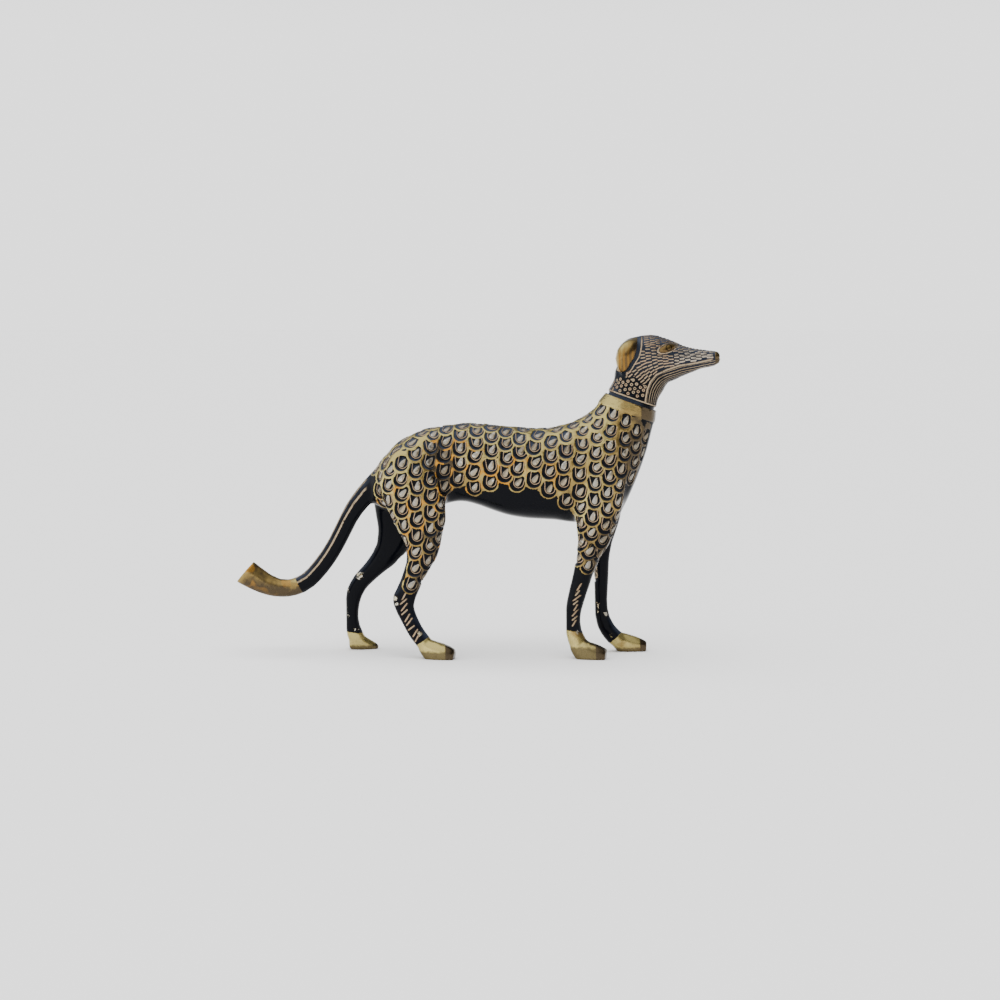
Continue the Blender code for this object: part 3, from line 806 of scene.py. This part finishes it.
def painted_shade(mesh, places, normals):
    """Painted shade on the metal: darkest where the form faces forward or down, and in hollows and dents."""
    smoother = Smoother(mesh)
    flattened = np.column_stack([smoother.smooth(part, 0.6, 260) for part in places.T])
    bulge = ((places - flattened) * normals).sum(1)
    x, _, z = places.T
    body = smooth_step((z - 75) / 20) * (x > TAIL_ROOT_X) * ~on_head(places)
    facing = 0.46 - 0.42 * normals[:, 2] + 0.45 * normals[:, 0] - 0.35 * bulge * (0.3 + 0.7 * body)
    facing += 0.7 * flank_dent(places) + (0.18 + 0.1 * (x > 30)) * smooth_step((85 - z) / 20)
    facing += 0.25 * smooth_step((z - 108) / 8) * smooth_step((x - 72) / 12)
    facing -= 0.45 * smooth_step((17 - z) / 4) * (x > TAIL_ROOT_X - 20)
    return smoother.smooth(facing, 0.6, 25)


def finish_attributes(piece, marks):
    """Gives the thinned mesh what its material reads."""
    mesh = piece.data
    for name in ("rim", "across", "down", "relief"):
        if name in mesh.attributes:
            mesh.attributes.remove(mesh.attributes[name])
    places, normals = read(mesh)
    top, found = topmost_scales(marks["scale"], places, normals)
    put(mesh, "rim", rim_distance(marks["scale"], places, normals, top, found))
    put(mesh, "strip", strip_distance(places, normals))
    put(mesh, "collar", np.clip(collar_distance(places), -30, 50))
    put(mesh, "mouth", np.where(on_head(places), mouth_distance(places), 20.0))
    put(mesh, "throat", throat_distance(places))
    put(mesh, "ear", np.where(np.abs(places[:, 1]) > 3.5, ear_distance(places), -20.0))
    on_tail = (places[:, 0] < TAIL_ROOT_X + 6) & (np.abs(places[:, 1]) < TAIL_WIDTH)
    put(mesh, "tail", np.where(on_tail, tail_height(places), 5.0))
    paw, toe = paw_distances(places)
    put(mesh, "paw", paw)
    put(mesh, "toe", toe)
    put(mesh, "worn", worn_distance(places))
    describe_marks(mesh, places, normals, marks)


def describe_marks(mesh, places, normals, marks):
    """Gives each face the mark that it lies on, and its corners their places on that mark."""
    faces = np.empty(len(mesh.polygons) * 3, np.int32)
    mesh.loops.foreach_get("vertex_index", faces)
    faces = faces.reshape(-1, 3)
    corners = places[faces]
    middles = corners.mean(1)
    facing = normals[faces].mean(1)
    at = np.zeros((len(faces), 3, 2))
    tone = np.zeros(len(faces))
    for pattern in (SCALES, DASHES, RINGS, HATCH):
        kind = marks[pattern.name]
        if pattern is SCALES:
            top, _ = topmost_scales(kind, middles, facing)
        else:
            top, _ = nearest_marks(kind, pattern, middles, facing)
        on = np.flatnonzero(top >= 0)
        away = corners[on] - kind["places"][top[on]][:, None]
        across = (away * kind["acrosses"][top[on]][:, None]).sum(2)
        down = (away * kind["downs"][top[on]][:, None]).sum(2)
        tone[on] = kind["tones"][top[on]]
        if pattern is DASHES:
            across /= (0.85 + 0.35 * tone[on])[:, None]
        if pattern is HATCH:
            across /= HATCH_LENGTH * (0.7 + 0.6 * tone[on])[:, None]
            down /= HATCH_THICKNESS
        at[on] = np.stack([across, down], 2)
        put(mesh, pattern.name, (top >= 0).astype(float), "FACE")
    put(mesh, "tone", tone, "FACE")
    layer = mesh.uv_layers.new(name="mark")
    layer.data.foreach_set("uv", at.astype(np.float32).ravel())


def paw_distances(places):
    """How far each place is above its paw's brass, and how far forward of where the toe begins."""
    x, y, z = places.T
    order = (x > 0) * 2 + (y > 0)
    edge_x, edge_z, slope, toe_x = (np.array(values)[order] for values in zip(*PAWS))
    return z - edge_z - slope * (x - edge_x), np.where(z < 16, x - toe_x, -20.0)


def worn_distance(places):
    """How far inside the nearest worn place each place is."""
    inside = np.full(len(places), -5.0)
    for x, y, z, radius in WORN:
        away = places - np.array((x, y, z))
        beside = np.hypot(away[:, 0], away[:, 2])
        same_side = np.abs(away[:, 1]) < 9
        inside = np.where(same_side, np.maximum(inside, radius - beside), inside)
    return inside


def stand(piece):
    """Makes the soles as flat as the floor."""
    places, _ = read(piece.data)
    places[:, 2] = np.maximum(places[:, 2], 0)
    write(piece.data, places)


def thin_out(piece, limit):
    """Fewer triangles, most of them where the marks are."""
    mesh = piece.data
    count = sum(len(face.vertices) - 2 for face in mesh.polygons)
    fewer = piece.modifiers.new("Fewer faces", "DECIMATE")
    fewer.ratio = min(1, limit / count)
    piece.modifiers.new("Triangles", "TRIANGULATE")
    settle(piece)


class Spot:
    """What the material reads at each spot of the skin: drawn millimetres, attributes and noise."""

    def __init__(self, tree):
        self.start = Value(tree)
        coordinates = self.start.node("ShaderNodeTexCoord", output=3)
        self.where = self.start.node("ShaderNodeMapping",
                                     {0: coordinates, 1: tuple(-SHIFT / SIZE), 3: (1 / SIZE,) * 3})
        self.x, self.y, self.z = self.parts(self.where)
        _, _, self.upward = self.parts(self.start.node("ShaderNodeNewGeometry", output=1))
        self.across, self.down, _ = self.parts(self.start.node("ShaderNodeUVMap", uv_map="mark"))
        self.fine = self.noise(0.9)
        self.ragged = self.noise(2.2, 3.0)
        self.broad = self.noise(9.0)
        self.fine_shake = self.fine - 0.5
        self.shake = self.ragged - 0.5
        self.broad_shake = self.broad - 0.5
        self.tone = self.read("tone")
        self.painted_shade = self.read("painted_shade")
        self.collar = self.read("collar")
        self.strip = self.read("strip")
        self.mouth = self.read("mouth")
        self.ear = self.read("ear")
        self.on_face = self.collar.step(-5.0, -6.0)

    def parts(self, vector):
        """The three numbers of a vector."""
        return [self.start.node("ShaderNodeSeparateXYZ", (vector,), index) for index in range(3)]

    def read(self, name):
        """The value of a named attribute."""
        return self.start.node("ShaderNodeAttribute", output=2, attribute_name=name)

    def noise(self, size, detail=2.0):
        """Noise from 0 to 1, with spots of about this size in drawn millimetres."""
        inputs = {"Vector": self.where, "Scale": 1 / size, "Detail": detail}
        return self.start.node("ShaderNodeTexNoise", inputs, 0)


def scale_finish(spot):
    """The level rims, the ridge and the facet in each hollow, and the place across the facet."""
    rim = spot.read("rim") + spot.fine_shake * 0.3 + spot.shake * 0.3
    scaled = spot.collar.step(COLLAR_GROOVE - 0.1, COLLAR_GROOVE + 0.1) * spot.strip.step(0.2, -0.2)
    level = rim.step(0.24, 0.06) * scaled
    hollow = spot.read("scale") * (1 - level) * scaled
    across = spot.across + spot.fine_shake * 0.35
    down = spot.down + spot.shake * 0.5
    ridge, facet, aside = scale_marks(across, down)
    return level, ridge * hollow, facet * hollow, aside


def stroke_finish(spot):
    """The dashes, the rings and the hatching."""
    dash = hypot((abs(spot.across) - DASH_REACH).most(0.0), spot.down + spot.fine_shake * 0.3)
    dash = (dash - spot.x.step(MUZZLE_X + 2, MUZZLE_NARROW_X) * 0.14).step(0.46, 0.26)
    dash = dash * spot.read("dash").most(spot.read("hatch") * spot.broad.step(0.3, 0.45))
    ring = abs(hypot(spot.across, spot.down) - RING_RADIUS + spot.fine_shake * 0.3)
    return dash.most(ring.step(0.36, 0.18) * spot.read("ring"))


def head_lines(spot):
    """The stripes round the throat, and the lines along the mouth, the ear and the collar."""
    phase = spot.read("throat") * (2 * math.pi / STRIPE) + spot.shake * 2
    throat = spot.mouth.step(0.2, 0.0) * spot.collar.step(-1.2, -1.8)
    stripe = phase.maths("COSINE", phase).step(0.45, 0.95) * throat
    mouth_line = abs(spot.mouth - 0.9).step(0.55, 0.35) * spot.collar.step(-0.5, -1.5)
    mouth_line = mouth_line * spot.x.step(NOSE_X, NOSE_X - 2)
    ear_line = abs(spot.ear + 2.75 + spot.fine_shake * 0.4).step(0.5, 0.25) * spot.x.step(83.0, 85.0)
    collar_line = abs(spot.collar + 0.7 + spot.fine_shake * 0.3).step(0.5, 0.25)
    return stripe.most(mouth_line).most(ear_line).most(collar_line)


def eye_finish(spot):
    """The eye's almond, the line round it and the ring in it."""
    x = spot.x - EYE_PLACE.x
    z = spot.z - EYE_PLACE.z
    along = x * math.cos(EYE_LEAN) + z * math.sin(EYE_LEAN)
    across = z * math.cos(EYE_LEAN) - x * math.sin(EYE_LEAN)
    almond = hypot(along / EYE_LENGTH, across / EYE_HEIGHT)
    eye = almond.step(1.0, 0.92) * spot.on_face
    line = abs(almond - 1.13).step(0.13, 0.07) * spot.on_face
    ring = abs(hypot(along - 0.6, across) - 1.6).step(0.4, 0.22) * eye
    return eye, line, ring


def tail_finish(spot):
    """The lines down the tail, and its bare end."""
    tail = spot.read("tail")
    lines = abs(tail - 0.34 + spot.shake * 0.12).step(0.12, 0.07)
    lines = lines.most(abs(tail - 0.9 + spot.fine_shake * 0.08).step(0.09, 0.05))
    first, last = TAIL_LINES_X
    lines = lines * spot.x.step(first + 1, first - 1) * spot.x.step(last - 1.5, last + 1.5)
    end = spot.x - TAIL_END.x + TAIL_END_SLOPE * (spot.z - TAIL_END.z) + spot.fine_shake * 1.2
    return lines * spot.ragged.step(0.3, 0.42), end.step(0.3, -0.3) * spot.z.step(25.0, 27.0)


def paw_finish(spot):
    """The bare paws, and where they are brown: the toes, along the soles and on top of one paw."""
    paw = (spot.read("paw") + spot.shake * 1.6).step(0.25, -0.25)
    toe = (spot.read("toe") + spot.shake * 0.64).step(-0.3, 0.3)
    near_front = spot.x.step(30.0, 40.0) * spot.y.step(5.0, -5.0)
    sole = spot.z + spot.shake * 3.0 + spot.y.step(-5.0, 5.0) * 2.0 - near_front * 2.6
    top = spot.upward.step(0.45, 0.7) * spot.y.step(-3.0, -6.0) * spot.x.step(54.0, 57.0)
    top = top * spot.ragged.step(0.3, 0.5)
    sole = sole.step(SOLE_HEIGHT + 0.9, SOLE_HEIGHT - 0.9)
    return paw, toe.most(sole * 0.85).most(top * 0.85) * paw


def brass_with_painted_light(spot, finish, darkened):
    """Brass with painted shade, darker in random patches and where told, and with painted orange glints in
    places.
    """
    dark = spot.painted_shade + spot.broad_shake * 0.7 + spot.shake * 0.35 + darkened
    # Painted shade: darker copies of the brass where the form is shaded, and in random patches
    brass = dark.step(0.1, 0.5).mixed(finish.brass, finish.darker_and_shaded_brass)
    brass = dark.step(0.5, 0.85).mixed(brass, finish.brown_brass_and_deep_shade)
    # Painted orange glints in random patches where the form is half shaded, and at the listed places
    painted_glint = spot.noise(7.0, 1.0).step(0.53, 0.62) * dark.step(0.2, 0.4)
    painted_glint = painted_glint * spot.z.step(30.0, 60.0) * spot.x.step(60.0, 30.0)
    for x, z, length, height in PAINTED_GLINTS:
        patch = (1 - hypot((spot.x - x) / length, (spot.z - z) / height)).step(0.0, 0.6)
        painted_glint = painted_glint.most(patch * spot.ragged.step(0.42, 0.58))
    return painted_glint.mixed(brass, finish.painted_glint)


def band_scratches(spot):
    """Fine scratches that run round the collar's band."""
    grain = spot.start.node("ShaderNodeCombineXYZ", (spot.x * 0.22, spot.y * 0.22, spot.collar * 2.4))
    inputs = {"Vector": grain, "Scale": 1.0, "Detail": 1.0}
    return spot.start.node("ShaderNodeTexNoise", inputs, 0).step(0.64, 0.70)


def ear_painted_reflection(spot):
    """Painted warm reflection down the ear, in browner flutes, strongest low down."""
    flute = spot.x * 2.6 + spot.broad_shake * 6.0
    flute = flute.maths("SINE", flute).step(-0.4, 0.9)
    return spot.z.step(EAR_TOP, EAR_TOP - 11) * (0.3 + 0.7 * flute)


def tan_metal(spot, finish):
    """Tan, browned by painted shade below the collar and under the jaw, and brighter on the muzzle."""
    tan = (spot.tone * 0.5 + spot.fine * 0.5).mixed(finish.tan, finish.pink_tan)
    # Painted shade: tan browns where the form is shaded, below the collar
    tan = (spot.painted_shade.step(0.45, 0.95) * spot.collar.step(0.0, 1.0) * 0.7).mixed(tan, finish.brown_brass_and_deep_shade)
    muzzle = spot.x.step(MUZZLE_X, MUZZLE_NARROW_X) * spot.mouth.step(1.2, 2.2)
    tan = (muzzle * 0.4).mixed(tan, finish.bright)
    # Painted shade under the jaw
    return (spot.mouth.step(-0.5, -5.0) * 0.6).mixed(tan, finish.brown_brass_and_deep_shade)


def silver_metal(spot, finish, aside):
    """Silver with painted shade on one side of some facets and where the form is shaded, and painted glints.
    """
    silver = (aside + spot.fine * 1.4 - 1.2 + spot.tone).step(-0.9, 0.8).mixed(finish.silver, finish.tan)
    # Painted glints in random spots on the facets
    silver = (spot.fine + spot.ragged - 1.0).step(0.12, 0.3).mixed(silver, finish.bright)
    # Painted shade where the form is shaded
    silver = (spot.painted_shade.step(0.5, 1.0) * 0.6).mixed(silver, finish.brown_brass_and_deep_shade)
    # Painted shade on one side of some facets
    dim = spot.tone.step(0.5, 1.0) * aside.step(0.2, -0.6) * 0.75
    return dim.mixed(silver, finish.brown_brass_and_deep_shade)


def lacquer(spot, finish):
    """Black, with painted navy sheen facing up, in the collar's groove and high on the head, and painted
    grey in front.
    """
    # Painted navy sheen where the lacquer faces up, in the collar's groove and high on the head
    lit = (spot.upward + spot.broad_shake * 0.5).step(0.1, 0.9)
    lit = lit.most(spot.collar.step(-0.4, 0.0) * spot.collar.step(2.4, 2.0) * spot.x.step(95.0, 91.0) * 0.75)
    lit = lit.most(spot.on_face * spot.z.step(156.0, 170.0) * 0.5)
    # Painted grey sheen down the chest
    grey_sheen = spot.strip.step(-0.5, 3.0) * spot.z.step(70.0, 105.0)
    return grey_sheen.mixed(lit.mixed(finish.black, finish.painted_navy_sheen), finish.painted_grey_sheen)


def engraved_finish(finish):
    """Brass where the metal is bare, tan and silver where it is cut bright, and lacquer elsewhere."""
    material = bpy.data.materials.new("engraved brass")
    material.use_nodes = True
    spot = Spot(material.node_tree)
    level, ridge, facet, aside = scale_finish(spot)
    eye, eye_line, eye_ring = eye_finish(spot)
    tail_lines, tail_end = tail_finish(spot)
    paw, brown = paw_finish(spot)
    band_end = COLLAR_GROOVE + COLLAR_BAND
    band = spot.collar.step(COLLAR_GROOVE - 0.15, COLLAR_GROOVE + 0.1)
    band = band * spot.collar.step(band_end + 0.3, band_end)
    drop = spot.ear.step(-0.25, 0.0)
    nose = spot.x.step(NOSE_X + 0.5, NOSE_X + 1.2) * spot.on_face
    worn = (spot.read("worn") + spot.shake * 2.88 + spot.fine_shake * 3.4).step(0.0, 0.4)
    bare = level.most(band).most(drop).most(tail_end).most(paw).most(worn).most(nose).most(eye)
    cut = ridge.most(stroke_finish(spot)).most(head_lines(spot)).most(tail_lines).most(eye_line)

    front = spot.x.step(BAND_FRONT_X - 0.7, BAND_FRONT_X + 0.8)
    # Darker on the tail's end, on the ears and at the front of the collar's band
    darkened = tail_end * 0.25 + drop * 0.2 + band * front * 0.45
    brass = brass_with_painted_light(spot, finish, darkened)
    brass = (band_scratches(spot) * band * 0.8).mixed(brass, finish.brown_brass_and_deep_shade)
    # Painted warm reflection down the ears, and the eyes' own browner brass
    brass = (ear_painted_reflection(spot) * drop).most(eye * 0.35).mixed(brass, finish.bronze_and_reflection)
    brass = brown.most(nose * 0.72).most(eye * 0.3).mixed(brass, finish.brown_brass_and_deep_shade)
    polish = worn * (spot.x.step(-30.0, -40.0) * 0.5 + 0.4) * spot.fine.step(0.35, 0.6)
    brass = polish.mixed(brass, finish.bright)

    colour = cut.mixed(lacquer(spot, finish), tan_metal(spot, finish))
    colour = facet.mixed(colour, silver_metal(spot, finish, aside))
    colour = bare.mixed(colour, brass)
    colour = (eye_ring * 0.8).mixed(colour, finish.black)
    metal = bare.most(cut).most(facet)
    rough = metal * 0.11 + spot.shake * 0.16 + 0.16
    height = cut.most(facet * (0.7 + aside * 0.5)) * 0.6 + bare.most(level) + spot.fine * 0.06
    bump = spot.start.node("ShaderNodeBump", {"Height": height, "Distance": finish.bump, "Strength": 0.7})
    shader = material.node_tree.nodes["Principled BSDF"]
    for name, value in (("Base Color", colour), ("Metallic", metal), ("Roughness", rough), ("Normal", bump)):
        material.node_tree.links.new(value.socket, shader.inputs[name])
    shader.inputs["Specular IOR Level"].default_value = 0.06
    return material


LengthProperty = partial(FloatProperty, unit="LENGTH")
AngleProperty = partial(FloatProperty, subtype="ANGLE")
ColourProperty = partial(FloatVectorProperty, subtype="COLOR", size=3, min=0, max=1)


class BrassDogEngraving(bpy.types.PropertyGroup):
    """Sizes of the skin and of what is cut in it."""

    voxel: LengthProperty(name="Skin step", description="How far apart the skin's points are at first",
                          default=0.46 * MM, min=0.3 * MM)
    triangles: IntProperty(name="Triangles", description="Triangles of the finished piece",
                           default=196000, min=20000)
    hollow_depth: LengthProperty(name="Hollow depth", description="From a scale's rim down to its hollow",
                                 default=0.62 * MM)
    wall_width: LengthProperty(name="Wall width", description="Of the wall between a rim and its hollow",
                               default=0.5 * MM)
    ridge_height: LengthProperty(name="Ridge height", description="Height of the ridge in a hollow",
                                 default=0.36 * MM)
    facet_height: LengthProperty(name="Facet height", description="Height of the bright facet in a hollow",
                                 default=0.42 * MM)


class BrassDogFinish(bpy.types.PropertyGroup):
    """Colours of the metal and of the lacquer, with the painted shade, sheen and glints."""

    brass: ColourProperty(name="Brass", description="Polished brass", default=(0.42, 0.345, 0.125))
    # Darker brass: painted shade where the form faces sideways, and random darker patches
    darker_and_shaded_brass: ColourProperty(name="Old brass", description="Brass that has dulled",
                              default=(0.24, 0.165, 0.055))
    # Painted orange glints on the brass
    painted_glint: ColourProperty(name="Glow", description="Brass that has gone orange", default=(0.42, 0.20, 0.03))
    # Browner brass of the eyes, and painted warm reflection down the ears
    bronze_and_reflection: ColourProperty(name="Bronze", description="Browner brass of the ears and the eyes",
                           default=(0.20, 0.105, 0.025))
    # Brown brass of the toes, the nose, the eyes and the scratches, and also the deepest painted shade
    brown_brass_and_deep_shade: ColourProperty(name="Dark brass", description="Brown brass of the toes and the nose",
                               default=(0.062, 0.046, 0.027))
    tan: ColourProperty(name="Tan", description="Ridges and dashes between the lacquer",
                        default=(0.30, 0.24, 0.155))
    pink_tan: ColourProperty(name="Pink tan", description="Redder ridges and dashes",
                             default=(0.32, 0.21, 0.13))
    silver: ColourProperty(name="Silver", description="Facets that are cut bright",
                           default=(0.29, 0.275, 0.24))
    # Painted glints on the facets; also worn places polished bright and the brighter muzzle
    bright: ColourProperty(name="Bright", description="The brightest spots of the facets",
                           default=(0.55, 0.53, 0.47))
    # Painted navy sheen on lacquer that faces up
    painted_navy_sheen: ColourProperty(name="Navy", description="Lacquer that faces up", default=(0.026, 0.033, 0.050))
    # The lacquer's own black, where no sheen is painted
    black: ColourProperty(name="Black", description="Lacquer that faces sideways or down",
                          default=(0.0022, 0.0025, 0.004))
    # Painted grey sheen down the chest
    painted_grey_sheen: ColourProperty(name="Dusty", description="Dull lacquer down the chest",
                          default=(0.055, 0.060, 0.062))
    bump: LengthProperty(name="Bump", description="Depth of the finest cuts", default=0.22 * MM)


class BrassDogStudio(bpy.types.PropertyGroup):
    """The camera's place."""

    turn: AngleProperty(name="Turn", description="How far the camera stands round from the dog's right side",
                        default=math.radians(2))
    rise: AngleProperty(name="Rise", description="How far the camera looks down", default=math.radians(4.5))
    distance: LengthProperty(name="Distance", description="From the camera to the dog's middle", default=1.3)
    pixel: LengthProperty(name="Size of a pixel", description="How much of the dog one of 1000 pixels shows",
                          default=0.5791 * MM, precision=6)


class OBJECT_OT_engrave_brass_dog(bpy.types.Operator):
    """Dress the cast dog in its engraved skin"""

    bl_idname = "object.engrave_brass_dog"
    bl_label = "Engrave the brass dog"

    def execute(self, context):
        settings = context.scene.brass_dog_engraving
        finish = context.scene.brass_dog_finish
        voxel = settings.voxel * 1
        piece = merged_copy("engraved_dog", voxel)
        even_out(piece, voxel)
        marks = lay_out(piece)
        describe_vertices(piece, marks)
        material = engraved_finish(finish)
        engrave(piece, settings, material)
        thin_out(piece, settings.triangles)
        stand(piece)
        finish_attributes(piece, marks)
        piece.data.shade_smooth()
        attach(piece, "root")
        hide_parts(NODE)
        return {"FINISHED"}


class SCENE_OT_set_brass_dog_studio(bpy.types.Operator):
    """Set up the floor, the lights and the camera"""

    bl_idname = "scene.set_brass_dog_studio"
    bl_label = "Set the studio"

    def execute(self, context):
        studio = context.scene.brass_dog_studio
        lay_floor()
        light_studio(context.scene)
        place_camera(context.scene, studio)
        return {"FINISHED"}


def lay_floor():
    mesh = bpy.data.meshes.new("floor")
    corners = [(FLOOR_REACH * x, FLOOR_REACH * y, 0) for x, y in ((-1, -1), (1, -1), (1, 1), (-1, 1))]
    mesh.from_pydata(corners, [], [(0, 1, 2, 3)])
    floor = bpy.data.objects.new("floor", mesh)
    bpy.context.scene.collection.objects.link(floor)
    material = bpy.data.materials.new("pale floor")
    material.use_nodes = True
    shader = material.node_tree.nodes["Principled BSDF"]
    shader.inputs["Base Color"].default_value = (0.9, 0.9, 0.9, 1)
    shader.inputs["Roughness"].default_value = 0.7
    mesh.materials.append(material)


def light_studio(scene):
    """A pale wall all round, a soft light above the dog's back and a dimmer room above the wall."""
    world = bpy.data.worlds.new("studio")
    world.use_nodes = True
    tree = world.node_tree
    start = Value(tree)
    way = start.node("ShaderNodeTexCoord")
    up = start.node("ShaderNodeSeparateXYZ", (way,), 2)
    softbox = start.node("ShaderNodeVectorMath", (way, (-0.5, -0.3, 0.81)), 1, operation="DOT_PRODUCT")
    strength = 0.3 + 1.6 * softbox.step(0.3, 0.9) + 1.7 * abs(up).step(0.28, 0.12)
    tree.links.new(strength.socket, tree.nodes["Background"].inputs["Strength"])
    tree.nodes["Background"].inputs["Color"].default_value = (1, 1, 1, 1)
    scene.world = world
    light = bpy.data.lights.new("floor light", "SUN")
    light.angle = math.radians(70)
    light.energy = 3.6
    lamp = bpy.data.objects.new("floor light", light)
    lamp.visible_glossy = False
    scene.collection.objects.link(lamp)


def place_camera(scene, studio):
    """Puts the camera at the photograph's place, which looks at the middle of its frame."""
    target = LOOK_AT * SIZE + SHIFT
    towards = Vector((math.sin(studio.turn) * math.cos(studio.rise),
                      -math.cos(studio.turn) * math.cos(studio.rise), math.sin(studio.rise)))
    data = bpy.data.cameras.new("camera")
    data.sensor_width = 36
    data.lens = data.sensor_width * studio.distance / (studio.pixel * 1000)
    camera = bpy.data.objects.new("camera", data)
    camera.location = target + towards * studio.distance
    camera.rotation_euler = (-towards).to_track_quat("-Z", "Y").to_euler()
    scene.collection.objects.link(camera)
    scene.camera = camera


class VIEW3D_PT_brass_dog(bpy.types.Panel):
    """The dog's settings and steps"""

    bl_label = "Brass dog"
    bl_space_type = "VIEW_3D"
    bl_region_type = "UI"
    bl_category = "Brass dog"

    def draw(self, context):
        for group in (context.scene.brass_dog_engraving, context.scene.brass_dog_finish,
                      context.scene.brass_dog_studio):
            box = self.layout.box()
            for name in group.__annotations__:
                box.prop(group, name)
        self.layout.operator(OBJECT_OT_engrave_brass_dog.bl_idname)
        self.layout.operator(SCENE_OT_set_brass_dog_studio.bl_idname)


CLASSES = (BrassDogEngraving, BrassDogFinish, BrassDogStudio, OBJECT_OT_engrave_brass_dog,
           SCENE_OT_set_brass_dog_studio, VIEW3D_PT_brass_dog)


def register():
    for kind in CLASSES:
        bpy.utils.register_class(kind)
    bpy.types.Scene.brass_dog_engraving = PointerProperty(type=BrassDogEngraving)
    bpy.types.Scene.brass_dog_finish = PointerProperty(type=BrassDogFinish)
    bpy.types.Scene.brass_dog_studio = PointerProperty(type=BrassDogStudio)


def unregister():
    del bpy.types.Scene.brass_dog_studio
    del bpy.types.Scene.brass_dog_finish
    del bpy.types.Scene.brass_dog_engraving
    for kind in reversed(CLASSES):
        bpy.utils.unregister_class(kind)


def main():
    register()
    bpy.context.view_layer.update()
    bpy.ops.object.engrave_brass_dog()
    bpy.ops.scene.set_brass_dog_studio()


if __name__ == "__main__":
    main()
